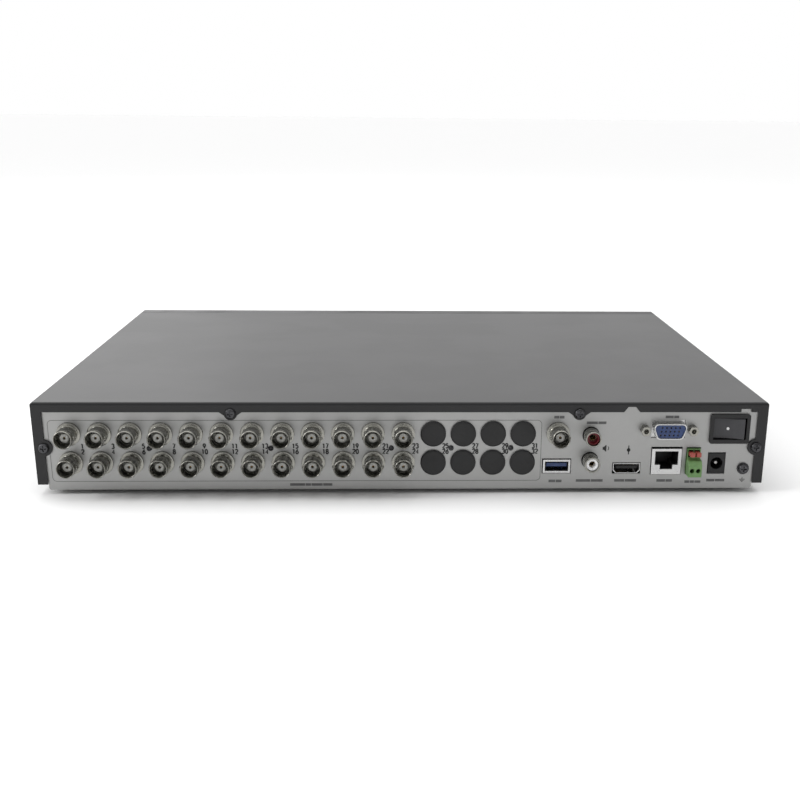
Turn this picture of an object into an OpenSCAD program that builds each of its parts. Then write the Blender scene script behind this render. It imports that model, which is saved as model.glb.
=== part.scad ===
// Camera recorder: twenty-four coaxial inputs in a low steel case with two disk drives.
// Millimetres. +Z is up and the feet stand on z = 0. The connector panel faces -Y and
// the plastic bezel faces +Y. The origin lies under the middle of the whole object.

/* [Case] */
// Width over the cover
case_w = 380; // [379:1:460]
// Depth from the cover's rear flange to the bezel's face
case_d = 307.5; // [300:0.5:372]
// Height of the case without its feet
case_h = 46.5; // [45:0.5:58]
// Thickness of the cover and pan sheet
sheet_t = 1; // [0.8:0.1:1.2]
// Gap where the cover laps over the pan
lap_gap = 0.2; // [0.1:0.05:0.3]
// Distance from the cover's side to the pan's side wall
pan_inset = 5.3; // [4.5:0.1:7]
// Height of the pan's side walls
side_wall_h = 12; // [8:0.5:20]
// Outer radius of the sheet's bends
bend_r = 1.6; // [1.4:0.1:2.5]
// Height of the cover's lower edge above the pan's underside
cover_lift = 3.1; // [2:0.1:5]
// Width of the lip turned in along the cover's lower edge
cover_lip = 3.4; // [2:0.1:4]
// Diameter of a foot
foot_dia = 14; // [10:0.5:18]
// Height of a foot
foot_h = 2.5; // [2:0.1:4]
// Distance from the case's side to a foot's centre
foot_in_x = 38; // [25:1:60]
// Distance from the rear flange or bezel to a foot's centre
foot_in_y = 42; // [25:1:60]

/* [Rear flange] */
// Height of the rear flange along the top
flange_top = 5.15; // [4:0.05:6]
// Width of the rear flange down each side
flange_side = 5.3; // [4:0.1:6]
// Radius of a round screw tab
tab_r = 4; // [3.4:0.1:4.5]
// Places of the two top tabs, across from the centre
tab_x = [-89, 91];
// Drop from the cover's top to the top tabs' screws
tab_drop = 5.9; // [5:0.1:7]
// Height of the side tabs' screws above the pan's underside
side_tab_rise = 22.6; // [18:0.1:23]
// Place of the wide relief notch
notch_x = 118.3; // [100:0.1:130]
// Width of the wide notch at its mouth
notch_w = 8.4; // [6:0.1:10]
// Width of the wide notch at its top
notch_top_w = 3.9; // [2:0.1:6]
// Height of the wide notch
notch_h = 2.8; // [1:0.1:3.5]
// Place of the small relief notch
small_notch_x = 178.4; // [170:0.1:180]
// Width of the small notch
small_notch_w = 5.5; // [4:0.1:8]
// Height of the small notch
small_notch_h = 1.7; // [1:0.1:3]

/* [Bezel] */
// Depth of the bezel
bezel_d = 12; // [10:0.5:16]
// Wall of the bezel
bezel_wall = 2; // [1.6:0.1:3]
// Gap between the bezel and the cover
seam_gap = 0.3; // [0.2:0.1:0.5]
// Length of the smoked window
window_w = 190; // [120:1:220]
// Height of the smoked window
window_h = 15; // [10:0.5:18]
// Thickness of the smoked window
window_t = 1.2; // [0.8:0.1:1.4]
// Place of the window's centre, across
window_x = 62; // [40:1:75]
// Height of the window's centre above the pan's underside
window_rise = 26; // [20:0.5:30]
// Diameter of a light pipe
pipe_dia = 2.6; // [2:0.1:4]
// Distance between light pipes
pipe_pitch = 14; // [8:0.5:20]
// Place of the front USB socket
front_usb_x = -128; // [-135:1:-100]
// Height of the front USB socket above the pan's underside
front_usb_rise = 17; // [12:0.5:22]
// Width of a bezel hook
hook_w = 8; // [5:0.5:12]
// Thickness of a bezel hook
hook_t = 1.6; // [1.2:0.1:2]
// Height of the bezel hooks above the pan's underside
hook_rise = 33.5; // [30:0.5:36]
// Height of the front boards
front_board_h = 34; // [30:0.5:38]
// Width of a front board
front_board_w = 34; // [28:1:40]

/* [Board] */
// Width of the main board
board_w = 361; // [358:1:364]
// Depth of the main board
board_d = 126; // [110:1:135]
// Thickness of the boards
board_t = 1.6; // [1.2:0.1:2]
// Height of the standoffs under the main board
standoff_h = 5.2; // [4:0.1:7]
// Diameter of a standoff
standoff_dia = 5.5; // [5:0.1:7]
// Gap between the rear panel and the boards and housings
board_gap = 0.4; // [0.2:0.1:1]

/* [Coaxial connectors] */
// Distance between the columns
bnc_pitch = 15.6; // [15:0.1:15.8]
// Place of the first column
bnc_first_x = -172.1; // [-173:0.1:-170]
// Columns with connectors
bnc_columns = 12; // [4:4:12]
// Columns closed by blanking plugs
plug_columns = 4; // [4:1:4]
// Height of the lower row above the board
bnc_rise = 6.7; // [6.5:0.1:7.2]
// Distance between the two rows
row_pitch = 15.3; // [14.6:0.1:16]
// Reach of the connectors beyond the cover's rear flange
bnc_out = 12.5; // [10:0.1:16]
// Diameter of the barrel
bnc_dia = 9.6; // [9:0.1:9.8]
// Bore of the barrel
bnc_bore = 8.1; // [7.8:0.1:8.3]
// Diameter of the threaded root
bnc_root_dia = 9; // [8:0.1:10.4]
// Diameter of the base ring
bnc_ring_dia = 12.2; // [11.6:0.1:13]
// Thickness of the base ring
bnc_ring_t = 1.4; // [1:0.1:2]
// Diameter of a bayonet lug
lug_dia = 2; // [1.6:0.1:2.2]
// Width over the two lugs
lug_span = 11.1; // [10.8:0.1:11.4]
// Diameter of the insulator's nose
nose_dia = 4.7; // [4:0.1:5.2]
// Diameter of the centre contact
contact_dia = 2.3; // [2:0.1:2.6]
// Diameter of a blanking plug's head
plug_dia = 13.3; // [13:0.1:14.2]
// Thickness of a blanking plug's head
plug_t = 1.8; // [1.2:0.1:2.5]
// Place of the monitor connector
monitor_x = 80.3; // [79:0.1:83]

/* [Audio and data ports] */
// Place of the audio sockets
audio_x = 97.6; // [96:0.1:99]
// Diameter of an audio shell
audio_dia = 8.3; // [8:0.1:8.4]
// Reach of an audio shell beyond the panel
audio_out = 10; // [8:0.5:12]
// Heights of the audio sockets above the board, lower then upper
audio_rise = [7.6, 21.2];
// Place of the rear USB socket
usb_x = 80.1; // [79:0.1:82]
// Width of a USB shell
usb_w = 13.1; // [13:0.1:13.6]
// Height of a USB shell
usb_h = 5.8; // [5.6:0.1:6.4]
// Place of the HDMI-size video socket
video_x = 117.2; // [115:0.1:119]
// Width of the video socket
video_w = 14.4; // [14:0.1:15]
// Height of the video socket
video_h = 5.4; // [5:0.1:5.8]
// Place of the monitor socket's D-shaped shell
vga_x = 138.2; // [136.5:0.1:139]
// Height of the D-shaped shell's centre above the board
vga_rise = 24.1; // [23:0.1:26]
// Width of the D-shaped shell
vga_w = 17; // [16.4:0.1:17.4]
// Height of the D-shaped shell
vga_h = 8.2; // [7.9:0.1:8.6]
// Distance between the jackposts
jackpost_pitch = 25; // [24.9:0.1:25.1]
// Radius of a jackpost's threaded hole
jackpost_hole_r = 1.25; // [1.1:0.05:1.4]
// Place of the network socket
lan_x = 138.2; // [137.5:0.1:139.5]
// Width of the network socket's shield
lan_w = 15.9; // [15.6:0.1:16.2]
// Height of the network socket's shield
lan_h = 13.9; // [13.2:0.1:14.2]

/* [Power and terminals] */
// Place of the spring terminal
terminal_x = 152.4; // [151.8:0.1:153]
// Width of the spring terminal
terminal_w = 7; // [6.8:0.1:7.6]
// Turn of a terminal lever when it is pressed, in degrees
lever_turn = 12; // [8:1:13]
// Place of the power switch
switch_x = 170.4; // [170:0.1:170.6]
// Height of the switch's centre above the board
switch_rise = 24.6; // [24:0.1:25.4]
// Width of the switch's rim
switch_w = 21; // [20.8:0.1:21.6]
// Height of the switch's rim
switch_h = 15.6; // [15:0.1:16]
// Turn of the rocker from one stop to the other, in degrees
rocker_turn = 24; // [16:1:24]
// Place of the power inlet
inlet_x = 165; // [164.5:0.1:166]
// Width of the power inlet
inlet_w = 8.8; // [8.6:0.1:9.4]
// Height of the power inlet
inlet_h = 11; // [10.6:0.1:11.4]
// Place of the earth screw
earth_x = 179.5; // [179:0.1:180.5]
// Height of the earth screw above the board
earth_rise = 3; // [3:0.1:5]

/* [Drives and fan] */
// Length of a disk drive, across the case
drive_l = 147; // [146:0.1:147.5]
// Width of a disk drive, front to back
drive_w = 101.6; // [101:0.1:102]
// Height of a disk drive
drive_h = 26.1; // [20:0.1:26.2]
// Gap between the two drives
drive_gap = 10; // [6:0.5:20]
// Height of the bosses that carry the drives
drive_boss_h = 3; // [2:0.1:5]
// Side of the fan's frame
fan_side = 40; // [30:0.1:40]
// Thickness of the fan
fan_t = 10; // [10:0.5:12]
// Height of the fan above the pan's floor
fan_lift = 2.2; // [2.2:0.1:2.4]

/* [Clearances] */
// Gap round a piece that sits in another
fit_gap = 0.1; // [0.05:0.01:0.15]
// Gap round a socket in the rear panel
cut_gap = 0.35; // [0.2:0.05:0.5]
// Radial clearance of a pivot
pivot_gap = 0.05; // [0.02:0.01:0.08]
// Gap beside a piece that moves
move_gap = 0.3; // [0.2:0.05:0.4]

/* [Hidden] */
$fn = 48;

// Levels and planes
pan_z = foot_h;
top_z = foot_h + case_h;
rear_y = (bnc_out - case_d) / 2;
front_y = rear_y + case_d;
panel_y = rear_y + sheet_t + lap_gap;
wall_y = panel_y + sheet_t;
bezel_y = front_y - bezel_d;
front_wall_y = bezel_y - seam_gap;
half_w = case_w / 2;
pan_half = half_w - pan_inset;
panel_half = half_w - sheet_t - lap_gap;
panel_top = top_z - sheet_t - lap_gap;
ear_z = pan_z + cover_lift + sheet_t + lap_gap;
board_z = pan_z + sheet_t + standoff_h;
board_top = board_z + board_t;
board_y = wall_y + board_gap;

// Coaxial connectors
bnc_tip = bnc_out + panel_y - rear_y;
bnc_floor = bnc_ring_t + 1.8;
bnc_root = 7;
nose_tip = bnc_tip - 3.2;
panel_hole_r = bnc_root_dia / 2 + cut_gap;
block_columns = 4;
block_d = 17;
block_top = bnc_rise + row_pitch + bnc_pitch / 2 - 0.6;
plug_reach = 4;

// Small fasteners
screw_dia = 3;
screw_head = 5.4;
screw_head_h = 1.8;
small_dia = 2;
small_head = 2.8;
small_head_h = 1.1;

// Rocker, in its own half-turned middle position
rocker_face = 2.4;
rocker_half = 8;
rocker_sweep = sqrt(rocker_half * rocker_half + rocker_face * rocker_face);
rocker_high = switch_h - 4.8;
rocker_pivot_in = 1.2;
rocker_pin_r = 1.2;
switch_rim = 1.8;
switch_depth = 15;
switch_back = 1.5;
switch_body_w = 2 * (rocker_sweep + move_gap) + 1.8;
switch_body_h = rocker_high + 2 * move_gap + 1.6;

// Spring terminal, heights above the board
lever_pitch = terminal_w / 2 - 0.25;
lever_w = 2.4;
lever_t = 1.8;
lever_mid = 11.6;
lever_pivot_in = 2.5;
lever_tail = 1.6;
lever_tip = 6.5;
lever_pin_r = 0.5;
terminal_h = 14;
terminal_out = 7;
terminal_in = 8;
terminal_face = 1.5;
wire_hole_dia = 2.4;
wire_rise = 3.4;

// Sockets, heights of their centres above the board
usb_rise = 4.5;
video_rise = 3.3;
lan_rise = lan_h / 2;
inlet_rise = inlet_h / 2 + 0.4;
lan_mouth_w = 11.8;
lan_mouth_h = 6.8;
lan_latch_w = 6.2;
lan_latch_h = 2.4;
lan_depth = 14;
shell_t = 0.4;
screw_rise = bnc_rise + row_pitch / 2;

// Drives, board and fan places
drive_y = front_wall_y - sheet_t - 22 - drive_w;
drive_z = pan_z + sheet_t + drive_boss_h;
drive_x = [-drive_l - drive_gap / 2 - 8, drive_gap / 2 - 8];
drive_hole = [[41.3, 3.2], [85.7, 3.2], [41.3, drive_w - 3.2], [85.7, drive_w - 3.2]];
board_holes = [
    for (x = [-0.46, -0.12, 0.22, 0.44]) for (y = [0.34, 0.92]) [board_w * x, board_y + board_d * y]
];
fan_x = -pan_half + sheet_t + fit_gap;
fan_y = board_y + board_d + 3 + fan_side / 2;
fan_z = pan_z + sheet_t + fan_lift + fan_side / 2;
fan_hole_r = fan_side / 2 - 0.8;
fan_screw = fan_side / 2 - 4;
chip_x = -36;
chip_y = board_y + 72;

// ---- shapes that repeat ----

// A flat outline in x and z, spread from y0 to y1
module slab(y0, y1) { translate([0, y1, 0]) rotate([90, 0, 0]) linear_extrude(y1 - y0) children(); }

// A profile of [radius, reach], turned about the -Y direction
module turned(profile) { rotate([90, 0, 0]) rotate_extrude() polygon(profile); }

// A block of size [x, y, z] whose centre in x and z is at the origin, from y0 inwards
module block_at(size, y0) { translate([-size[0] / 2, y0, -size[2] / 2]) cube(size); }

// The local frame of a port: its origin on the panel's outer face, +Y into the case
module at_port(x, rise) { translate([x, panel_y, board_top + rise]) children(); }

module round_rect(w, h, r) {
    for (x = [-1, 1]) for (y = [-1, 1]) translate([x * (w / 2 - r), y * (h / 2 - r)]) circle(r);
    square([w - 2 * r, h], center = true);
    square([w, h - 2 * r], center = true);
}

// Outline of a sheet folded down at both sides, with rounded upper corners
module folded(half, low, high, r) {
    for (side = [-1, 1]) translate([side * (half - r), high - r]) circle(r);
    translate([-half, low]) square([2 * half, high - low - r]);
    translate([r - half, low]) square([2 * (half - r), high - low]);
}

// A pan-head screw along +Y from its seat, with a cross recess
module screw(dia, head, head_h, length) {
    difference() {
        union() {
            turned([[0, 0], [head / 2, 0], [head / 2, head_h * 0.45], [head / 2 - 0.35, head_h * 0.8],
                [head / 2 - 0.9, head_h], [0, head_h]]);
            rotate([-90, 0, 0]) cylinder(h = length, d = dia);
        }
        for (turn = [0, 90]) rotate([0, turn, 0])
            block_at([head * 0.55, head_h * 0.6, head * 0.13], -head_h - 0.05);
    }
}

module column_grid(first, last) {
    for (column = [first : last]) for (row = [0, 1])
        at_port(bnc_first_x + column * bnc_pitch, bnc_rise + row * row_pitch) children();
}

// ---- case ----

module panel_outline() {
    chamfer = 0.8;
    polygon([
        [-pan_half + chamfer, pan_z], [pan_half - chamfer, pan_z], [pan_half, pan_z + chamfer],
        [pan_half, ear_z], [panel_half, ear_z], [panel_half, panel_top], [-panel_half, panel_top],
        [-panel_half, ear_z], [-pan_half, ear_z], [-pan_half, pan_z + chamfer]
    ]);
}

module panel_cuts() {
    through = [panel_y - 0.5, wall_y + 0.5];
    deep = sheet_t + 1;
    slab(through[0], through[1]) {
        for (column = [0 : bnc_columns + plug_columns - 1]) for (row = [0, 1])
            translate([bnc_first_x + column * bnc_pitch, board_top + bnc_rise + row * row_pitch])
                circle(panel_hole_r);
        translate([monitor_x, board_top + bnc_rise + row_pitch]) circle(panel_hole_r);
        for (rise = audio_rise) translate([audio_x, board_top + rise]) circle(audio_dia / 2 + cut_gap);
        for (x = panel_screw_x) translate([x, board_top + screw_rise]) circle(small_dia / 2 + fit_gap);
        for (x = tab_x) translate([x, top_z - tab_drop]) circle(screw_dia / 2 + fit_gap);
        for (side = [-1, 1]) translate([side * side_screw_x, pan_z + side_tab_rise])
            circle(screw_dia / 2 + fit_gap);
        translate([earth_x, board_top + earth_rise]) circle(screw_dia / 2 + fit_gap);
        for (side = [-1, 1]) translate([vga_x + side * jackpost_pitch / 2, board_top + vga_rise])
            circle(1.6);
    }
    at_port(usb_x, usb_rise) block_at([usb_w + 1.6 + 2 * cut_gap, deep, usb_h + 1.6 + 2 * cut_gap], -0.5);
    at_port(video_x, video_rise) block_at([video_w + 2 * cut_gap, deep, video_h + 2 * cut_gap], -0.5);
    at_port(vga_x, vga_rise + 0.3) block_at([vga_w + 2 * cut_gap, deep, vga_h + 1.4], -0.5);
    at_port(lan_x, lan_rise + 0.3) block_at([lan_w + 2 * cut_gap, deep, lan_h + 1.2], -0.5);
    at_port(terminal_x, terminal_h / 2 + 0.2)
        block_at([terminal_w + 2 * cut_gap, deep, terminal_h + 2 * cut_gap], -0.5);
    at_port(switch_x, switch_rise)
        block_at([switch_body_w + 2 * fit_gap, deep, switch_body_h + 2 * fit_gap], -0.5);
    at_port(inlet_x, inlet_rise) block_at([inlet_w + 2 * cut_gap, deep, inlet_h + 2 * cut_gap], -0.5);
}

panel_screw_x = [for (gap = [2, 6, 10, 12, 14]) bnc_first_x + (gap + 0.6) * bnc_pitch];
side_screw_x = half_w - flange_side + 0.3;
wall_top = panel_top - 0.3;

module base_pan() {
    drive_r = 5;
    vent_l = 26;
    vent_w = 2.4;
    color("silver") {
        difference() {
            slab(panel_y, wall_y) panel_outline();
            panel_cuts();
        }
        difference() {
            union() {
                translate([-pan_half, wall_y - 0.01, pan_z])
                    cube([2 * pan_half, front_wall_y - wall_y + 0.01, sheet_t]);
                for (spot = drive_spots()) translate([spot[0], spot[1], pan_z])
                    cylinder(h = sheet_t + drive_boss_h, r = drive_r);
            }
            for (spot = drive_spots()) translate([spot[0], spot[1], pan_z - 1]) {
                cylinder(h = 12, r = screw_dia / 2 + cut_gap);
                cylinder(h = 1 + drive_boss_h, r = drive_r - sheet_t);
            }
            for (x = [-130 : 9 : -76]) translate([x, board_y + 46, pan_z - 1])
                cube([vent_w, vent_l, sheet_t + 2]);
            for (x = [60 : 9 : 114]) translate([x, board_y + 46, pan_z - 1])
                cube([vent_w, vent_l, sheet_t + 2]);
        }
        for (side = [0, 1]) mirror([side, 0, 0])
            translate([-pan_half, wall_y - 0.01, pan_z]) difference() {
                cube([sheet_t, front_wall_y - wall_y + 0.01, side_wall_h]);
                if (side == 0) translate([-1, fan_y - wall_y - fan_side / 2 - 2, -1])
                    cube([3, fan_side + 4, side_wall_h + 2]);
            }
        difference() {
            translate([-pan_half, fan_y - fan_side / 2 - 2, pan_z])
                cube([sheet_t, fan_side + 4, fan_z + fan_side / 2 + 0.4 - pan_z]);
            translate([-pan_half - 1, fan_y, fan_z]) rotate([0, 90, 0]) cylinder(h = 3, r = fan_hole_r - 1);
            for (y = [-1, 1]) for (z = [-1, 1])
                translate([-pan_half - 1, fan_y + y * fan_screw, fan_z + z * fan_screw])
                    rotate([0, 90, 0]) cylinder(h = 3, r = screw_dia / 2 + cut_gap);
        }
        difference() {
            translate([-pan_half, front_wall_y - sheet_t, pan_z])
                cube([2 * pan_half, sheet_t, wall_top - pan_z]);
            for (x = hook_x) translate([x - hook_w / 2 - move_gap, front_wall_y - 2, hook_z - move_gap])
                cube([hook_w + 2 * move_gap, 3, hook_t + 2 * move_gap]);
            translate([front_usb_x + 18, front_wall_y - 2, pan_z + 14]) cube([40, 3, 9]);
        }
    }
}

function drive_spots() = [
    for (x = drive_x) for (hole = drive_hole) [x + hole[0], drive_y + hole[1]]
];

// The flange's window: everything of the panel that the cover leaves open
module flange_window() {
    low = pan_z - 1;
    difference() {
        translate([-half_w + flange_side, low])
            square([case_w - 2 * flange_side, top_z - flange_top - low]);
        for (x = tab_x) translate([x, top_z - tab_drop]) screw_tab();
        for (side = [-1, 1]) translate([side * side_screw_x, pan_z + side_tab_rise]) circle(tab_r + 0.3);
    }
    translate([notch_x, top_z - flange_top - 0.01])
        polygon([
            [-notch_w / 2, 0], [notch_w / 2, 0], [notch_top_w / 2, notch_h], [-notch_top_w / 2, notch_h]
        ]);
    translate([small_notch_x - small_notch_w / 2, top_z - flange_top - 0.01])
        square([small_notch_w, small_notch_h]);
}

// A round tab that hangs from the flange on sloping shoulders
module screw_tab() {
    circle(tab_r - 0.6);
    polygon([[-tab_r - 1.9, 0.8], [tab_r + 1.9, 0.8], [tab_r - 1.6, -1.6], [1.6 - tab_r, -1.6]]);
}

module top_cover() {
    low = pan_z + cover_lift;
    vent_w = 2.4;
    vent_h = 18;
    vent_pitch = 5;
    color("dimgray") difference() {
        intersection() {
            rear_bend(low);
            cover_shell(low);
        }
        slab(rear_y - 1, rear_y + sheet_t + 1) {
            for (x = tab_x) translate([x, top_z - tab_drop]) circle(screw_dia / 2 + fit_gap);
            for (side = [-1, 1]) translate([side * side_screw_x, pan_z + side_tab_rise])
                circle(screw_dia / 2 + fit_gap);
        }
        for (side = [-1, 1]) for (slot = [-6 : 6])
            translate([side * half_w - 2, fan_y + slot * vent_pitch - vent_w / 2, fan_z - vent_h / 2])
                cube([4, vent_w, vent_h]);
    }
}

// The space a cover may fill, rounded where its top turns down into the rear flange
module rear_bend(low) {
    back = front_wall_y - rear_y;
    translate([-half_w, 0, 0]) rotate([90, 0, 90]) linear_extrude(case_w) {
        translate([rear_y, low - 1]) square([back, top_z - low + 1 - bend_r]);
        translate([rear_y + bend_r, low - 1]) square([back - bend_r, top_z - low + 1]);
        translate([rear_y + bend_r, top_z - bend_r]) circle(bend_r);
    }
}

module cover_shell(low) {
    slab(rear_y, front_wall_y) difference() {
        folded(half_w, low, top_z, bend_r);
        folded(half_w - sheet_t, low - 1, top_z - sheet_t, bend_r - sheet_t);
    }
    slab(rear_y, rear_y + sheet_t) difference() {
        folded(half_w, low, top_z, bend_r);
        flange_window();
    }
    for (side = [0, 1]) mirror([side, 0, 0]) translate([half_w - sheet_t - cover_lip, rear_y, low])
        cube([cover_lip + sheet_t, front_wall_y - rear_y, sheet_t]);
}

module rubber_feet() {
    color("black") for (x = [-1, 1]) for (y = [rear_y + foot_in_y, front_y - foot_in_y])
        translate([x * (half_w - foot_in_x), y, 0]) rotate_extrude()
            polygon([[0, 0], [foot_dia / 2 - 1, 0], [foot_dia / 2 - 0.4, foot_h * 0.3],
                [foot_dia / 2, foot_h], [0, foot_h]]);
}

module cover_screws() {
    color("dimgray") {
        for (x = tab_x) translate([x, rear_y, top_z - tab_drop])
            screw(screw_dia, screw_head, screw_head_h, 6);
        for (side = [-1, 1]) translate([side * side_screw_x, rear_y, pan_z + side_tab_rise])
            screw(screw_dia, screw_head, screw_head_h, 6);
    }
}

module panel_screws() {
    color("black") for (x = panel_screw_x) at_port(x, screw_rise)
        screw(small_dia, small_head, small_head_h, 5);
}

// ---- bezel ----

hook_z = pan_z + hook_rise;
hook_x = [20 - pan_half, -60, 60, pan_half - 20];
window_z = pan_z + window_rise;
pipe_x = [for (i = [-1 : 1]) window_x + window_w / 2 - 22 + i * pipe_pitch];
front_usb_z = pan_z + front_usb_rise;
front_board_y = front_wall_y + 2.8;
front_board_z = pan_z + 4;
front_board_x = [pipe_x[1], front_usb_x];
post_r = 2;

module front_bezel() {
    mid_z = pan_z + case_h / 2;
    face_y = front_y - bezel_wall;
    vent_rise = 40;
    vent_size = [2.4, 5];
    vent_pitch = 5;
    post_y = front_board_y + board_t + fit_gap;
    color("black") {
        difference() {
            slab(bezel_y, front_y) translate([0, mid_z]) round_rect(case_w, case_h, 1.6);
            slab(bezel_y - 1, face_y) translate([0, mid_z])
                square([case_w - 2 * bezel_wall, case_h - 2 * bezel_wall], center = true);
            slab(front_y - window_t, front_y + 1) translate([window_x, window_z])
                square([window_w + 2 * fit_gap, window_h + 2 * fit_gap], center = true);
            slab(face_y - 1, front_y + 1) {
                for (x = pipe_x) translate([x, window_z]) circle(pipe_dia / 2 + fit_gap);
                translate([front_usb_x, front_usb_z]) square([usb_w + 1, usb_h + 1], center = true);
                for (i = [0 : 23]) translate([-168 + i * vent_pitch, pan_z + vent_rise])
                    square(vent_size, center = true);
            }
        }
        for (x = front_board_x) for (side = [-1, 1]) for (z = [4, front_board_h - 4])
            translate([x + side * (front_board_w / 2 - 3.5), post_y, front_board_z + z])
                rotate([-90, 0, 0]) cylinder(h = face_y - post_y + 0.01, r = post_r);
        for (x = hook_x) translate([x - hook_w / 2, front_wall_y - 4.6, hook_z]) {
            cube([hook_w, 4.6 + seam_gap + bezel_d - bezel_wall + 0.01, hook_t]);
            translate([0, 1.2, -0.8]) cube([hook_w, 1.8, 0.9]);
        }
    }
}

module bezel_window() {
    color("darkslategray") difference() {
        slab(front_y - window_t + 0.01, front_y) translate([window_x, window_z])
            square([window_w, window_h], center = true);
        slab(front_y - window_t - 1, front_y + 1) for (x = pipe_x) translate([x, window_z])
            circle(pipe_dia / 2 + fit_gap);
    }
}

module light_pipes() {
    color("white") for (x = pipe_x) translate([x, front_board_y + board_t + 1.5, window_z])
        rotate([-90, 0, 0]) cylinder(h = front_y - front_board_y - board_t - 1.5, d = pipe_dia);
}

module front_board() {
    color("darkgreen") for (x = front_board_x)
        translate([x - front_board_w / 2, front_board_y, front_board_z])
            cube([front_board_w, board_t, front_board_h]);
}

module usb_shell(depth) {
    difference() {
        block_at([usb_w, depth, usb_h], 0);
        block_at([usb_w - 2 * shell_t, depth, usb_h - 2 * shell_t], -shell_t);
    }
}

// The socket's own front is its origin; the rim flares round the mouth
module usb_rim() {
    difference() {
        block_at([usb_w + 1.4, shell_t, usb_h + 1.4], 0);
        block_at([usb_w - 2 * shell_t, 3, usb_h - 2 * shell_t], -1);
    }
}

module usb_tongue(depth) {
    tongue_t = 1.9;
    base_t = 2;
    gap = shell_t + fit_gap;
    translate([0, 0, usb_h / 2 - shell_t - 0.9 - tongue_t / 2])
        block_at([usb_w - 2.4, depth - gap - 1, tongue_t], 1);
    block_at([usb_w - 2 * gap, base_t, usb_h - 2 * gap], depth - gap - base_t);
}

front_usb_y = front_y - 0.4;
front_usb_d = front_usb_y - front_board_y - board_t;

// Turned about the vertical so that the mouth faces the front
module at_front_usb() { translate([front_usb_x, front_usb_y, front_usb_z]) rotate([0, 0, 180]) children(); }

module front_usb_shell() { color("silver") at_front_usb() usb_shell(front_usb_d); }

module front_usb_tongue() { color("black") at_front_usb() usb_tongue(front_usb_d); }

// ---- boards and what stands on them ----

module main_board() {
    color("darkgreen") difference() {
        translate([-board_w / 2, board_y, board_z]) cube([board_w, board_d, board_t]);
        for (hole = board_holes) translate([hole[0], hole[1], board_z - 1])
            cylinder(h = board_t + 2, r = screw_dia / 2 + fit_gap);
    }
}

module board_standoffs() {
    color("gold") for (hole = board_holes) translate([hole[0], hole[1], pan_z + sheet_t]) difference() {
        cylinder(h = standoff_h, d = standoff_dia);
        translate([0, 0, 1]) cylinder(h = standoff_h, r = screw_dia / 2 + fit_gap);
    }
}

module board_screws() {
    color("silver") for (hole = board_holes) translate([hole[0], hole[1], board_top])
        rotate([-90, 0, 0]) screw(screw_dia, screw_head, screw_head_h, standoff_h + board_t - 1.5);
}

// A chip of size [w, d, h], placed from the processor's centre
module chip(x, y, size) {
    translate([chip_x + x - size[0] / 2, chip_y + y - size[1] / 2, board_top]) cube(size);
}

processor_w = 27;
processor_h = 2.4;

module processor() { color("dimgray") chip(0, 0, [processor_w, processor_w, processor_h]); }

module heatsink() {
    side = 40;
    fin_h = 13;
    base_h = 3;
    color("silver") translate([chip_x - side / 2, chip_y - side / 2, board_top + processor_h + fit_gap]) {
        cube([side, side, base_h]);
        for (i = [0 : 9]) translate([i * (side - 1.2) / 9, 0, base_h - 0.01]) cube([1.2, side, fin_h]);
    }
}

module small_chips() {
    color("black") {
        for (i = [0 : 3]) chip(-34 + (i % 2) * 68, -8 + floor(i / 2) * 18, [11, 13, 1.2]);
        for (i = [0 : 5]) chip(-116 + i * 30, -38, [14, 14, 1.4]);
        chip(110, -16, [12, 12, 1.2]);
        chip(150, -8, [16, 12, 5]);
        chip(168, 18, [8, 10, 1.8]);
    }
}

cell_r = 10;
cell_floor = 1;

module at_cell() { translate([chip_x + 96, chip_y + 28, board_top]) children(); }

module cell_holder() {
    color("black") at_cell() difference() {
        cylinder(h = 4, r = cell_r + 2);
        translate([0, 0, cell_floor]) cylinder(h = 4, r = cell_r + fit_gap);
        translate([4, -5, cell_floor]) cube([cell_r, 10, 4]);
    }
}

module coin_cell() {
    color("silver") at_cell() translate([0, 0, cell_floor + fit_gap]) cylinder(h = 3.2, r = cell_r);
}

module capacitors() {
    color("darkblue") for (spot = [[152, 14, 5], [152, 28, 5], [166, 36, 4], [180, 36, 4], [196, 12, 4]])
        translate([chip_x + spot[0], chip_y + spot[1], board_top]) rotate_extrude()
            polygon([[0, 0], [spot[2], 0], [spot[2], 1.4], [spot[2] - 0.3, 1.8], [spot[2], 2.2],
                [spot[2], 10.6], [spot[2] - 0.5, 11], [0, 11]]);
}

module drive_sockets() {
    color("firebrick") for (i = [0 : 3])
        translate([chip_x - 100 + i * 24, board_y + board_d - 9, board_top]) difference() {
            cube([17, 7, 9]);
            translate([1.5, 1.5, 3]) cube([14, 4, 7]);
        }
}

// ---- coaxial connectors ----

module bnc_barrel() {
    root_r = bnc_root_dia / 2;
    ring_r = bnc_ring_dia / 2;
    barrel_r = bnc_dia / 2;
    bore_r = bnc_bore / 2;
    waist_r = barrel_r - 0.4;
    waist = bnc_ring_t + 2.2;
    stem_r = nose_dia / 2 + fit_gap;
    turned([
        [root_r, -bnc_root], [root_r, 0], [ring_r, 0], [ring_r, bnc_ring_t - 0.4],
        [ring_r - 0.4, bnc_ring_t], [waist_r, bnc_ring_t], [waist_r, waist],
        [barrel_r, waist + 0.4], [barrel_r, bnc_tip - 0.5],
        [barrel_r - 0.3, bnc_tip], [bore_r + 0.1, bnc_tip], [bore_r, bnc_tip - 0.3], [bore_r, bnc_floor],
        [stem_r, bnc_floor], [stem_r, -bnc_root]
    ]);
    for (side = [-1, 1]) translate([side * (bore_r + 0.2), -bnc_tip + 4.6, 0])
        rotate([0, side * 90, 0]) cylinder(h = lug_span / 2 - bore_r - 0.2, d = lug_dia);
}

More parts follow.
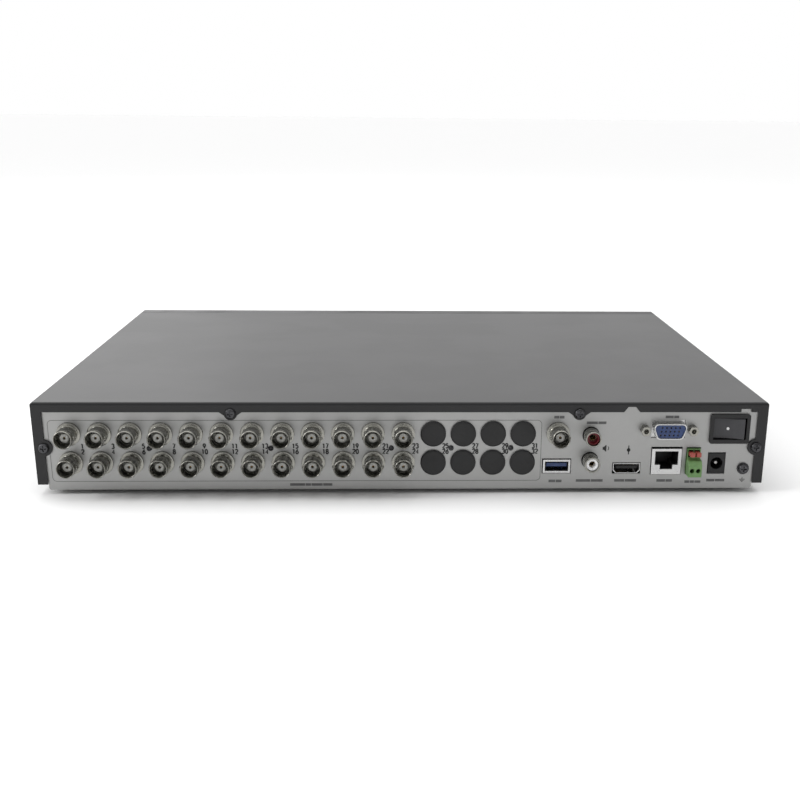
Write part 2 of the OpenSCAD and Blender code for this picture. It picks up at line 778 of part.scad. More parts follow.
module bnc_insulator() {
    nose_r = nose_dia / 2;
    hole_r = contact_dia / 2 + 0.05;
    disc_r = bnc_bore / 2 - fit_gap;
    disc_low = bnc_floor + fit_gap;
    disc_high = bnc_floor + 1.2;
    turned([
        [hole_r, -bnc_root], [nose_r, -bnc_root], [nose_r, disc_low], [disc_r, disc_low],
        [disc_r, disc_high], [nose_r, disc_high], [nose_r, nose_tip - 0.3],
        [nose_r - 0.3, nose_tip], [hole_r, nose_tip]
    ]);
}

module bnc_contact() {
    contact_r = contact_dia / 2;
    socket_r = 0.75;
    tail_r = 0.6;
    turned([
        [0, -bnc_root - 3], [tail_r, -bnc_root - 3], [tail_r, -bnc_root], [contact_r, -bnc_root],
        [contact_r, nose_tip - 0.5], [socket_r, nose_tip - 0.5], [socket_r, nose_tip - 5],
        [0, nose_tip - 5.4]
    ]);
}

// Clearances bored into a housing for one connector's root and tail
module bnc_root_bores() {
    rotate([-90, 0, 0]) cylinder(h = bnc_root + fit_gap, r = bnc_root_dia / 2 + fit_gap);
    rotate([-90, 0, 0]) cylinder(h = bnc_root + 3.5, r = 0.8);
}

module bnc_housings() {
    block_w = block_columns * bnc_pitch - 0.6;
    color("black") difference() {
        for (block = [0 : bnc_columns / block_columns - 1])
            translate([bnc_first_x + (block * block_columns - 0.5) * bnc_pitch + 0.3, board_y, board_top])
                cube([block_w, block_d, block_top]);
        column_grid(0, bnc_columns - 1) bnc_root_bores();
        for (x = panel_screw_x) at_port(x, screw_rise) rotate([-90, 0, 0])
            cylinder(h = 6, r = small_dia / 2 + fit_gap);
    }
}

module bnc_barrels() { color("lightgray") column_grid(0, bnc_columns - 1) bnc_barrel(); }

module bnc_insulators() { color("white") column_grid(0, bnc_columns - 1) bnc_insulator(); }

module bnc_contacts() { color("gold") column_grid(0, bnc_columns - 1) bnc_contact(); }

module at_monitor() { at_port(monitor_x, bnc_rise + row_pitch) children(); }

module monitor_housing() {
    rise = block_top - bnc_rise - row_pitch;
    high = rise + bnc_rise + row_pitch - 2 * usb_rise - 1.6;
    color("black") at_monitor() difference() {
        translate([-6.4, board_y - panel_y, rise - high]) cube([12.8, block_d, high]);
        bnc_root_bores();
    }
}

module monitor_barrel() { color("lightgray") at_monitor() bnc_barrel(); }

module monitor_insulator() { color("white") at_monitor() bnc_insulator(); }

module monitor_contact() { color("gold") at_monitor() bnc_contact(); }

module blanking_plugs() {
    head_r = plug_dia / 2;
    stem_r = panel_hole_r - fit_gap;
    lip_r = panel_hole_r + 0.25;
    catch = sheet_t + fit_gap;
    color("black") column_grid(bnc_columns, bnc_columns + plug_columns - 1) turned([
        [stem_r - 1, -plug_reach], [stem_r, -plug_reach], [lip_r, -catch - 0.8], [lip_r, -catch],
        [stem_r, -catch], [stem_r, 0], [head_r, 0], [head_r, plug_t - 0.6], [head_r - 0.6, plug_t],
        [0, plug_t], [0, 0.2], [stem_r - 1, 0.2]
    ]);
}

// ---- audio ----

audio_root = 3;
audio_wall = 0.8;
audio_root_r = audio_dia / 2 - 0.2;
audio_shoulder = 0.5;

module at_audio(i) { at_port(audio_x, audio_rise[i]) children(); }

module audio_shell() {
    out_r = audio_dia / 2;
    turned([
        [out_r - audio_wall, -audio_root], [audio_root_r, -audio_root], [audio_root_r, audio_shoulder],
        [out_r, audio_shoulder], [out_r, audio_out - 0.4],
        [out_r - 0.3, audio_out], [out_r - audio_wall + 0.2, audio_out],
        [out_r - audio_wall, audio_out - 0.2]
    ]);
}

module audio_insulator() {
    out_r = audio_dia / 2 - audio_wall - fit_gap;
    turned([
        [1.75, -audio_root], [out_r, -audio_root], [out_r, audio_out - 1.5], [out_r - 0.3, audio_out - 1.2],
        [2, audio_out - 1.2], [1.75, audio_out - 1.5]
    ]);
}

module audio_housing() {
    depth = 12;
    color("black") difference() {
        translate([audio_x - 5, board_y, board_top]) cube([10, depth, audio_rise[1] + 6]);
        for (i = [0, 1]) at_audio(i) rotate([-90, 0, 0])
            cylinder(h = audio_root + fit_gap, r = audio_root_r + fit_gap);
    }
}

module audio_shells() { color("lightgray") for (i = [0, 1]) at_audio(i) audio_shell(); }

module audio_in_insulator() { color("firebrick") at_audio(1) audio_insulator(); }

module audio_out_insulator() { color("white") at_audio(0) audio_insulator(); }

module audio_contacts() {
    color("gold") for (i = [0, 1]) at_audio(i)
        turned([[1.6, -2.8], [1.7, -2.8], [1.7, audio_out - 5.5], [1.6, audio_out - 5.5]]);
}

// ---- monitor, video, USB and network sockets ----

module d_outline(w, h) {
    r = 2;
    slope = 1.2;
    hull() for (side = [-1, 1]) {
        translate([side * (w / 2 - r), h / 2 - r]) circle(r, $fn = 32);
        translate([side * (w / 2 - r - slope), r - h / 2]) circle(r, $fn = 32);
    }
}

vga_out = 5.6;
vga_in = 8;
vga_shell_t = 0.5;

module vga_shell() {
    color("silver") at_port(vga_x, vga_rise) difference() {
        union() {
            slab(-vga_out, vga_in) d_outline(vga_w, vga_h);
            block_at([jackpost_pitch + 5.8, 0.8, 12.4], sheet_t + fit_gap);
        }
        slab(-vga_out - 1, vga_in + 1) d_outline(vga_w - 2 * vga_shell_t, vga_h - 2 * vga_shell_t);
        for (side = [-1, 1]) translate([side * jackpost_pitch / 2, 0, 0])
            rotate([-90, 0, 0]) cylinder(h = 5, r = 1.6);
    }
}

module vga_insert() {
    gap = vga_shell_t + fit_gap;
    pin_pitch = 2.29;
    row_gap = 1.98;
    color("royalblue") at_port(vga_x, vga_rise) difference() {
        slab(-vga_out + 0.8, vga_in) d_outline(vga_w - 2 * gap, vga_h - 2 * gap);
        for (row = [-1 : 1]) for (i = [-2 : 2])
            translate([i * pin_pitch + row * 0.4, -vga_out, row * row_gap])
                rotate([-90, 0, 0]) cylinder(h = 4, r = 0.5);
    }
}

jackpost_out = 5;

module vga_jackposts() {
    color("silver") at_port(vga_x, vga_rise) for (side = [-1, 1])
        translate([side * jackpost_pitch / 2, 0, 0]) difference() {
            union() {
                rotate([90, 0, 0]) cylinder(h = jackpost_out, d = 5.4, $fn = 6);
                rotate([-90, 0, 0]) cylinder(h = 6, r = 1.42);
            }
            translate([0, 1, 0]) rotate([90, 0, 0]) cylinder(h = jackpost_out + 2, r = jackpost_hole_r);
        }
}

function video_points(inset) = let (w = video_w / 2 - inset, h = video_h / 2 - inset, c = 1.5)
    [[-w, h], [-w, -h + c], [-w + c, -h], [w - c, -h], [w, -h + c], [w, h]];

video_d = 11;

module video_shell() {
    color("silver") at_port(video_x, video_rise) difference() {
        slab(-0.5, video_d) polygon(video_points(0));
        slab(-1, video_d - 0.5) polygon(video_points(shell_t));
    }
}

module video_tongue() {
    color("black") at_port(video_x, video_rise) {
        translate([0, 0, 0.4]) block_at([video_w - 3.2, video_d - 2.5, 1.6], 0.6);
        block_at([video_w - 4.2, 2, video_h - 2 * shell_t - 2 * fit_gap], video_d - 2.7);
    }
}

rear_usb_d = 17;
rear_usb_out = 0.8;

module at_rear_usb() { at_port(usb_x, usb_rise) translate([0, -rear_usb_out, 0]) children(); }

module rear_usb_shell() {
    color("silver") at_rear_usb() {
        usb_shell(rear_usb_d);
        usb_rim();
    }
}

module rear_usb_tongue() { color("mediumblue") at_rear_usb() usb_tongue(rear_usb_d); }

// The mouth of the network socket, wide above and narrow where the latch goes
module lan_mouth(gap) {
    translate([-lan_mouth_w / 2 - gap, 1.9 - lan_mouth_h / 2 - gap])
        square([lan_mouth_w + 2 * gap, lan_mouth_h + 2 * gap]);
    translate([-lan_latch_w / 2 - gap, 1.9 - lan_mouth_h / 2 - lan_latch_h - gap])
        square([lan_latch_w + 2 * gap, lan_latch_h + 2 * gap + 1]);
}

lan_out = 0.8;

module lan_shield() {
    color("silver") at_port(lan_x, lan_rise) difference() {
        block_at([lan_w, lan_depth + lan_out + 2, lan_h], -lan_out);
        block_at([lan_w - 2 * shell_t, lan_depth + 2, lan_h - 2 * shell_t], shell_t - lan_out + 0.1);
        slab(-2, 2) lan_mouth(0.2);
    }
}

module lan_insert() {
    gap = shell_t + fit_gap;
    color("black") at_port(lan_x, lan_rise) difference() {
        block_at([lan_w - 2 * gap, lan_depth + 1.6, lan_h - 2 * gap], gap - lan_out + 0.1);
        slab(-2, lan_depth - 1) lan_mouth(0);
    }
}

module lan_contacts() {
    color("gold") at_port(lan_x, lan_rise) for (i = [0 : 7])
        translate([(i - 3.5) * 1.02, 4, 1.9 + lan_mouth_h / 2 - 0.6]) rotate([-10, 0, 0])
            block_at([0.4, 6, 0.3], 0);
}

// ---- spring terminal ----

lever_slot_w = lever_w + 0.5;

module at_terminal() { at_port(terminal_x, 0) children(); }

module terminal_body() {
    slot_low = lever_mid - lever_t / 2 - 1.3;
    color("limegreen") at_terminal() {
        difference() {
            translate([-terminal_w / 2, 0, 0]) rotate([90, 0, 90]) linear_extrude(terminal_w) polygon([
                [terminal_in, 0], [-terminal_out, 0], [-terminal_out, 6.4], [-terminal_out + 1.8, 8.4],
                [-terminal_face, 8.8], [-terminal_face, terminal_h], [terminal_in, terminal_h]
            ]);
            for (side = [-1, 1]) translate([side * lever_pitch / 2, 0, 0]) {
                translate([-lever_slot_w / 2, -terminal_face - 1, slot_low])
                    cube([lever_slot_w, lever_pivot_in + lever_tail + terminal_face + 1.7, lever_t + 2.2]);
                translate([0, -terminal_out - 1, wire_rise]) rotate([-90, 0, 0])
                    cylinder(h = terminal_out + 3, d = wire_hole_dia);
                translate([-1.3, 3, 1.2]) cube([2.6, terminal_in, 4.8]);
            }
        }
        translate([-terminal_w / 2 + 0.2, lever_pivot_in, lever_mid]) rotate([0, 90, 0])
            cylinder(h = terminal_w - 0.4, r = lever_pin_r);
    }
}

module terminal_lever(side) {
    color("orangered") at_terminal() translate([side * lever_pitch / 2, 0, lever_mid]) difference() {
        union() {
            translate([-lever_w / 2, -lever_tip, -lever_t / 2])
                cube([lever_w, lever_tip + lever_pivot_in, lever_t]);
            translate([-lever_w / 2, lever_pivot_in, 0]) rotate([0, 90, 0])
                cylinder(h = lever_w, r = lever_t / 2);
            translate([-lever_w / 2, -lever_tip, -lever_t / 2]) cube([lever_w, 1.6, lever_t + 0.5]);
        }
        translate([-lever_w, lever_pivot_in, 0]) rotate([0, 90, 0])
            cylinder(h = 2 * lever_w, r = lever_pin_r + pivot_gap);
    }
}

module terminal_lever_left() { terminal_lever(-1); }

module terminal_lever_right() { terminal_lever(1); }

module terminal_clamps() {
    color("silver") at_terminal() for (side = [-1, 1]) translate([side * lever_pitch / 2 - 1.1, 3.4, 1.4]) {
        cube([2.2, 4, 0.4]);
        cube([2.2, 0.4, 4]);
        translate([0, 0, 3.6]) cube([2.2, 3, 0.4]);
    }
}

// ---- power switch, inlet and earth ----

module at_switch() { at_port(switch_x, switch_rise) children(); }

module switch_housing() {
    hole_w = 2 * (rocker_sweep + move_gap);
    hole_h = rocker_high + 2 * move_gap;
    color("black") at_switch() difference() {
        union() {
            slab(-switch_rim, 0) round_rect(switch_w, switch_h, 1.2);
            block_at([switch_body_w, switch_depth, switch_body_h], -0.01);
        }
        block_at([hole_w, switch_depth + switch_rim - switch_back, hole_h], -switch_rim - 0.01);
        translate([0, rocker_pivot_in, -switch_body_h])
            cylinder(h = 2 * switch_body_h, r = rocker_pin_r + pivot_gap);
    }
}

// The rocker lies with its left end pressed in. It turns about the upright through its pins.
module switch_rocker() {
    dish_r = 40;
    dish_deep = 0.85;
    color("black") at_switch() translate([0, rocker_pivot_in, 0]) rotate([0, 0, -rocker_turn / 2]) {
        difference() {
            intersection() {
                translate([0, 0, -rocker_high / 2]) cylinder(h = rocker_high, r = rocker_sweep);
                translate([-rocker_half - 1, -rocker_face, -rocker_high / 2])
                    cube([2 * rocker_half + 2, rocker_face + 4, rocker_high]);
            }
            translate([0, -rocker_face - dish_r + dish_deep, -rocker_high])
                cylinder(h = 2 * rocker_high, r = dish_r);
        }
        translate([0, 0, -switch_body_h / 2 + 0.2]) cylinder(h = switch_body_h - 0.4, r = rocker_pin_r);
    }
}

module switch_tabs() {
    color("silver") at_switch() for (x = [-6, 0, 6])
        translate([x, 0, 0]) block_at([0.8, 8, 4.8], switch_depth);
}

inlet_d = 14;
inlet_bore_r = 3.15;

module inlet_body() {
    color("black") at_port(inlet_x, inlet_rise) difference() {
        block_at([inlet_w, inlet_d, inlet_h], -0.4);
        translate([0, -1, 0]) rotate([-90, 0, 0]) cylinder(h = 11, r = inlet_bore_r);
        translate([0, -1, 0]) rotate([-90, 0, 0]) cylinder(h = 13, r = 1.15);
    }
}

module inlet_pin() {
    color("silver") at_port(inlet_x, inlet_rise)
        turned([[0, -11.8], [1.05, -11.8], [1.05, -1.8], [0.75, -1.2], [0, -1.2]]);
}

module earth_screw() {
    washer_t = 0.6;
    color("gray") at_port(earth_x, earth_rise) {
        translate([0, -washer_t, 0]) screw(screw_dia, screw_head, screw_head_h, 6);
        rotate([90, 0, 0]) cylinder(h = washer_t, d = 6.4);
    }
}

// ---- drives ----

module disk_drives() {
    rim = 3;
    color("lightgray") for (x = drive_x) translate([x, drive_y, drive_z + fit_gap]) difference() {
        union() {
            cube([drive_l, drive_w, drive_h - 1.4]);
            translate([rim, rim, 0]) cube([drive_l - 2 * rim, drive_w - 2 * rim, drive_h - 0.4]);
            translate([drive_l * 0.56, drive_w / 2, 0]) cylinder(h = drive_h, r = 36);
        }
        for (hole = drive_hole) translate([hole[0], hole[1], -1])
            cylinder(h = 6, r = screw_dia / 2 + fit_gap);
        translate([-1, 12, 2]) cube([8, 48, 7]);
    }
}

module drive_screws() {
    color("silver") for (spot = drive_spots()) translate([spot[0], spot[1], pan_z + drive_boss_h - fit_gap])
        rotate([90, 0, 0]) screw(screw_dia, screw_head, screw_head_h, 5.4);
}

// ---- fan ----

module at_fan() { translate([fan_x, fan_y, fan_z]) rotate([0, 90, 0]) children(); }

fan_hub_r = 9;
fan_blades = 7;
fan_shaft_r = 1;
fan_plate_t = 2;

// The openings of the fan's back plate, between the hub and the ring
module fan_windows() {
    difference() {
        circle(fan_hole_r - 0.4);
        circle(fan_hub_r);
        for (turn = [0 : 90 : 270]) rotate([0, 0, turn + 20]) translate([0, -1]) square([fan_side, 2]);
    }
}

module fan_frame() {
    half = fan_side / 2;
    plate = fan_t - fan_plate_t;
    color("dimgray") at_fan() difference() {
        union() {
            difference() {
                translate([-half, -half, 0]) cube([fan_side, fan_side, fan_t]);
                translate([0, 0, -1]) cylinder(h = plate + 1, r = fan_hole_r);
                translate([0, 0, plate - 1]) linear_extrude(fan_plate_t + 2) fan_windows();
                for (x = [-1, 1]) for (y = [-1, 1]) translate([x * fan_screw, y * fan_screw, -1])
                    cylinder(h = fan_t + 2, r = screw_dia / 2 + fit_gap);
            }
            translate([0, 0, 3]) cylinder(h = fan_t - 4, r = fan_shaft_r + 1.5);
        }
        translate([0, 0, 2]) cylinder(h = fan_t - 2.6, r = fan_shaft_r + pivot_gap);
    }
}

module fan_rotor() {
    blade_r = fan_hole_r - 0.6;
    low = 0.6;
    high = fan_t - fan_plate_t - 0.6;
    color("black") at_fan() {
        difference() {
            translate([0, 0, low]) cylinder(h = high - low, r = fan_hub_r);
            translate([0, 0, low + 1.6]) cylinder(h = fan_t, r = fan_hub_r - 1.2);
        }
        translate([0, 0, low + 1]) cylinder(h = fan_t - low - 2, r = fan_shaft_r);
        intersection() {
            for (i = [0 : fan_blades - 1]) rotate([0, 0, i * 360 / fan_blades])
                translate([fan_hub_r - 0.4, 0, (low + high) / 2]) rotate([38, 0, 0])
                    translate([0, -5.5, -0.6]) cube([blade_r - fan_hub_r + 2, 11, 1.2]);
            translate([0, 0, low]) cylinder(h = high - low, r = blade_r);
        }
    }
}

module fan_screws() {
    color("silver") at_fan() for (x = [-1, 1]) for (y = [-1, 1])
        translate([x * fan_screw, y * fan_screw, -sheet_t - fit_gap]) rotate([90, 0, 0]) rotate([0, 0, 180])
            rotate([180, 0, 0]) screw(screw_dia, screw_head, screw_head_h, 9);
}

base_pan();
top_cover();
front_bezel();
bezel_window();
light_pipes();
rubber_feet();
cover_screws();
panel_screws();
main_board();
board_standoffs();
board_screws();
bnc_housings();
bnc_barrels();
bnc_insulators();
bnc_contacts();
blanking_plugs();
monitor_housing();
monitor_barrel();
monitor_insulator();
monitor_contact();
audio_housing();
audio_shells();
audio_in_insulator();
audio_out_insulator();
audio_contacts();
vga_shell();
vga_insert();
vga_jackposts();
video_shell();
video_tongue();
rear_usb_shell();
rear_usb_tongue();
lan_shield();
lan_insert();
lan_contacts();
terminal_body();
terminal_lever_left();
terminal_lever_right();
terminal_clamps();
switch_housing();
switch_rocker();
switch_tabs();
inlet_body();
inlet_pin();
earth_screw();
processor();
heatsink();
small_chips();
coin_cell();
cell_holder();
capacitors();
drive_sockets();
disk_drives();
drive_screws();
fan_frame();
fan_rotor();
fan_screws();
front_board();
front_usb_shell();
front_usb_tongue();
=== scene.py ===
import math

import bpy
import numpy as np
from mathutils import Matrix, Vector


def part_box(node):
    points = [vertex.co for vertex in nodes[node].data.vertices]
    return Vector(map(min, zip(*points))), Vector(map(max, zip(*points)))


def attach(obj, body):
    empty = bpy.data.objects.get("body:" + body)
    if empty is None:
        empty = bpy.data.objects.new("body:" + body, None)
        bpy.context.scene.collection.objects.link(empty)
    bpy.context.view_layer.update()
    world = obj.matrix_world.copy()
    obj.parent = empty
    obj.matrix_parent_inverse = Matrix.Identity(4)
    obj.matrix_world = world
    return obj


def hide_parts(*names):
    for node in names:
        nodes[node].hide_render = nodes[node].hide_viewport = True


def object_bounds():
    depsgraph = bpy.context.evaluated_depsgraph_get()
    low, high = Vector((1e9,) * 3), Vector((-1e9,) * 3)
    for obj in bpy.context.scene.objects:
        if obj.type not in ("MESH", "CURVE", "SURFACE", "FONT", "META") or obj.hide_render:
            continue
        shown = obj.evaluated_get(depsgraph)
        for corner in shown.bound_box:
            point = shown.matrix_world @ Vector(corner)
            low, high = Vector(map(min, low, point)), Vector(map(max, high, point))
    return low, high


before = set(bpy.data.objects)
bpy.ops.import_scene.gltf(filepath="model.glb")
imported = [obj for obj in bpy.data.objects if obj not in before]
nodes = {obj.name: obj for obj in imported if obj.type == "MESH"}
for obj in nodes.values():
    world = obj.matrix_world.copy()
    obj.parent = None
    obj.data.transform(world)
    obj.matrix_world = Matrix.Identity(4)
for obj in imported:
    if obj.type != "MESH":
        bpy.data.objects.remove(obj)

mm = 0.001
cadLow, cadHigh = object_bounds()
print("frame loaded:", len(nodes), "nodes")


# ---- camera ----

cameraView = {
    "fromRear": 0.6106,     # distance from the connectors' tips
    "aside": -0.0057,
    "height": 0.1901,
    "lookDown": 20.36,      # degrees
    "lookAside": -2.415,
    "lean": -0.553,
    "lens": 55.48,
    "shift": (-0.0585, 0.2091),     # the lens is shifted up and to the left
}


def placeCamera():
    data = bpy.data.cameras.new("camera")
    data.lens = cameraView["lens"]
    data.sensor_width = 36
    data.shift_x, data.shift_y = cameraView["shift"]
    data.clip_end = 60
    camera = bpy.data.objects.new("camera", data)
    camera.location = (cameraView["aside"], cadLow.y - cameraView["fromRear"], cameraView["height"])
    camera.rotation_euler = [math.radians(angle) for angle in (
        90 - cameraView["lookDown"], cameraView["lean"], cameraView["lookAside"])]
    bpy.context.scene.collection.objects.link(camera)
    bpy.context.scene.camera = camera
    print("camera placed")


placeCamera()


# ---- meshes from arrays ----

def gridFaces(rows, columns, closeRows=True, closeColumns=True):
    # One quad between each pair of neighbouring rows and columns, wrapping round where the grid is closed
    r, c = np.meshgrid(np.arange(rows if closeRows else rows - 1),
                       np.arange(columns if closeColumns else columns - 1), indexing="ij")
    rNext, cNext = (r + 1) % rows, (c + 1) % columns
    corners = (r * columns + c, r * columns + cNext, rNext * columns + cNext, rNext * columns + c)
    return np.stack(corners, -1).reshape(-1, 4)


def outward(points, faces):
    # The signed volume is a sixth of the sum of a . (b x c) over the triangles a b c; below zero, every
    # face is turned over. The fourth corner of a triangle is -1.
    a, b, c = (points[faces[:, i]] for i in range(3))
    d = points[np.where(faces[:, 3] < 0, faces[:, 2], faces[:, 3])]
    volume = (a * np.cross(b, c)).sum() + (a * np.cross(c, d)).sum()
    if volume < 0:
        flipped = faces.copy()
        flipped[:, 0], flipped[:, 2] = faces[:, 2], faces[:, 0]
        return flipped
    return faces


def sealed(points, faces):
    # Points at one place become one point. A quad that lost a corner becomes a triangle, and one that
    # lost two goes.
    _, first, back = np.unique(np.round(points * 1e7).astype(np.int64), axis=0,
                               return_index=True, return_inverse=True)
    faces = back.reshape(-1)[faces]
    same = faces == np.roll(faces, -1, axis=1)
    keep = same.sum(1) < 2
    faces, same = faces[keep], same[keep]
    turn = np.where(same.any(1), same.argmax(1) + 1, 0)
    faces = np.take_along_axis(faces, (np.arange(4) + turn[:, None]) % 4, axis=1)
    faces[same.any(1), 3] = -1
    return points[first], outward(points[first], faces)


def softened(outline, radius, steps=3):
    # Each corner C of a closed outline becomes a short curve from A to B, which lie radius away from C
    # along its two sides, or less on a short side: (1-t)^2 A + 2t(1-t) C + t^2 B
    outline = np.array(outline, float)
    radius = np.broadcast_to(np.array(radius, float).reshape(-1, 1), (len(outline), 1))
    ends = []
    for step in (1, -1):
        side = np.roll(outline, step, axis=0) - outline
        length = np.maximum(np.linalg.norm(side, axis=1, keepdims=True), 1e-9)
        ends.append(outline + side / length * np.minimum(radius, 0.45 * length))
    t = np.linspace(0, 1, steps + 1)[None, :, None]
    a, b, c = ends[0][:, None], ends[1][:, None], outline[:, None]
    return ((1 - t) ** 2 * a + 2 * t * (1 - t) * c + t ** 2 * b).reshape(-1, 2)


def turned(profile, segments=48):
    # A closed profile of (radius, reach) carried round the -Y axis: x = r cos a, y = -reach, z = r sin a
    profile = np.array(profile, float) * mm
    angle = np.arange(segments) * 2 * math.pi / segments
    r, reach = profile[:, :1], profile[:, 1:]
    points = np.stack([r * np.cos(angle), -reach + 0 * angle, r * np.sin(angle)], -1)
    return sealed(points.reshape(-1, 3), gridFaces(len(profile), segments))


def lofted(rings):
    # rings is (k, n, 3): outlines of n points one past the other, the end ones closed to their middles
    rings = np.array(rings, float) * mm
    ends = [np.repeat(rings[i].mean(0)[None, None], rings.shape[1], axis=1) for i in (0, -1)]
    rings = np.concatenate([ends[0], rings, ends[1]])
    faces = gridFaces(len(rings), rings.shape[1], closeRows=False)
    return sealed(rings.reshape(-1, 3), faces)


def strip(path, width, thick):
    # A flat strip, width along X, carried along a path in Y and Z: at each point the path's own normal
    # moves it half its thickness to either side
    path = np.array(path, float)
    along = np.gradient(path, axis=0)
    along /= np.linalg.norm(along, axis=1, keepdims=True)
    across = np.stack([-along[:, 1], along[:, 0]], -1) * thick / 2
    corners = [(-1, 1), (1, 1), (1, -1), (-1, -1)]
    rings = np.stack([np.column_stack([np.full(len(path), side * width / 2), path + up * across])
                      for side, up in corners], axis=1)
    return lofted(rings)


def copies(part, spots):
    # The same surface at every spot, in millimetres from where it was made
    points, faces = part
    spots = np.array(spots, float).reshape(-1, 3) * mm
    allPoints = (points[None] + spots[:, None]).reshape(-1, 3)
    shift = (np.arange(len(spots)) * len(points))[:, None, None]
    allFaces = np.where(faces[None] < 0, -1, faces[None] + shift).reshape(-1, 4)
    return allPoints, allFaces


def moved(part, turn=None, shift=(0, 0, 0)):
    # Turned by a 3 x 3 matrix, then shifted in millimetres
    points, faces = part
    if turn is not None:
        points = points @ np.array(turn, float).T
    return points + np.array(shift, float) * mm, faces


def aboutZ(degrees):
    c, s = math.cos(math.radians(degrees)), math.sin(math.radians(degrees))
    return [[c, -s, 0], [s, c, 0], [0, 0, 1]]


def makePiece(name, parts, finish, body="case", stands=(), sharp=34):
    # Joins the parts' arrays into one mesh, smooth but for edges sharper than the given angle
    counts = np.cumsum([0] + [len(points) for points, _ in parts[:-1]])
    points = np.concatenate([points for points, _ in parts])
    faces = np.concatenate([np.where(f < 0, -1, f + start) for (_, f), start in zip(parts, counts)])
    sizes = (faces >= 0).sum(1)
    mesh = bpy.data.meshes.new(name)
    mesh.vertices.add(len(points))
    mesh.vertices.foreach_set("co", points.astype(np.float32).ravel())
    mesh.loops.add(int(sizes.sum()))
    mesh.loops.foreach_set("vertex_index", faces[faces >= 0].astype(np.int32))
    mesh.polygons.add(len(faces))
    mesh.polygons.foreach_set("loop_start", (np.cumsum(sizes) - sizes).astype(np.int32))
    mesh.polygons.foreach_set("use_smooth", np.ones(len(faces), bool))
    mesh.update(calc_edges=True)
    mesh.validate()
    mesh.set_sharp_from_angle(angle=math.radians(sharp))
    mesh.materials.append(finish)
    piece = bpy.data.objects.new(name, mesh)
    bpy.context.scene.collection.objects.link(piece)
    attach(piece, body)
    if stands:
        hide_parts(*stands)
    return piece


def nodePoints(name):
    found = np.empty(len(nodes[name].data.vertices) * 3, np.float32)
    nodes[name].data.vertices.foreach_get("co", found)
    return found.reshape(-1, 3).astype(float) / mm


def solidBoxes(name):
    # The box of each separate solid in a CAD node, in millimetres: points at one place get one label,
    # and every face spreads the lowest label of its corners until nothing changes
    mesh, points = nodes[name].data, nodePoints(name)
    corners = np.empty(len(mesh.loops), np.int32)
    mesh.loops.foreach_get("vertex_index", corners)
    _, same = np.unique(np.round(points * 1000).astype(np.int64), axis=0, return_inverse=True)
    faces = same.reshape(-1)[corners].reshape(-1, 3)
    label = np.arange(faces.max() + 1)
    while True:
        lowest = label[faces].min(1)
        spread = label.copy()
        for corner in range(3):
            np.minimum.at(spread, faces[:, corner], lowest)
        spread = spread[spread]
        if (spread == label).all():
            break
        label = spread
    owner = label[same.reshape(-1)]
    found = [(points[owner == one].min(0), points[owner == one].max(0)) for one in np.unique(owner)]
    return sorted(found, key=lambda box: (round(box[0][2]), box[0][0]))


def middles(name):
    return np.array([(low + high) / 2 for low, high in solidBoxes(name)])


def millimetres(name):
    low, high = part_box(name)
    return np.array(low) / mm, np.array(high) / mm


panelFace = millimetres("base_pan")[0][1]


# ---- shader groups that several finishes share ----

def newGroup(name, inputs, outputs):
    group = bpy.data.node_groups.new(name, "ShaderNodeTree")
    for label, value in inputs.items():
        socket = group.interface.new_socket(name=label, in_out="INPUT", socket_type="NodeSocketFloat")
        socket.default_value = value
    for label in outputs:
        group.interface.new_socket(name=label, in_out="OUTPUT", socket_type="NodeSocketFloat")
    return group, group.nodes.new("NodeGroupInput"), group.nodes.new("NodeGroupOutput")


def makeCloudGroup():
    # Soft blotches: two noises of different size added, then spread between Low and High
    group, given, out = newGroup("cloudMask", {"Scale": 40.0, "Low": 0.4, "High": 0.6}, ["Mask"])
    place = group.nodes.new("ShaderNodeTexCoord")
    noise = group.nodes.new("ShaderNodeTexNoise")
    noise.inputs["Detail"].default_value = 5
    noise.inputs["Roughness"].default_value = 0.58
    spread = group.nodes.new("ShaderNodeMapRange")
    spread.interpolation_type = "SMOOTHSTEP"
    group.links.new(place.outputs["Object"], noise.inputs["Vector"])
    group.links.new(given.outputs["Scale"], noise.inputs["Scale"])
    group.links.new(noise.outputs["Fac"], spread.inputs["Value"])
    group.links.new(given.outputs["Low"], spread.inputs["From Min"])
    group.links.new(given.outputs["High"], spread.inputs["From Max"])
    group.links.new(spread.outputs["Result"], out.inputs["Mask"])
    return group


def makeGrainGroup():
    # Fine grain whose size along X, Y and Z is set apart, so that it also makes rolled or turned lines
    inputs = {"Along X": 1500.0, "Along Y": 1500.0, "Along Z": 1500.0}
    group, given, out = newGroup("fineGrain", inputs, ["Height"])
    place = group.nodes.new("ShaderNodeTexCoord")
    sizes = group.nodes.new("ShaderNodeCombineXYZ")
    stretch = group.nodes.new("ShaderNodeVectorMath")
    stretch.operation = "MULTIPLY"
    noise = group.nodes.new("ShaderNodeTexNoise")
    noise.inputs["Scale"].default_value = 1
    noise.inputs["Detail"].default_value = 3
    for axis in "XYZ":
        group.links.new(given.outputs["Along " + axis], sizes.inputs[axis])    # one size for each axis
    group.links.new(place.outputs["Object"], stretch.inputs[0])
    group.links.new(sizes.outputs["Vector"], stretch.inputs[1])
    group.links.new(stretch.outputs["Vector"], noise.inputs["Vector"])
    group.links.new(noise.outputs["Fac"], out.inputs["Height"])
    return group


cloudMask = makeCloudGroup()
fineGrain = makeGrainGroup()


# ---- finishes ----

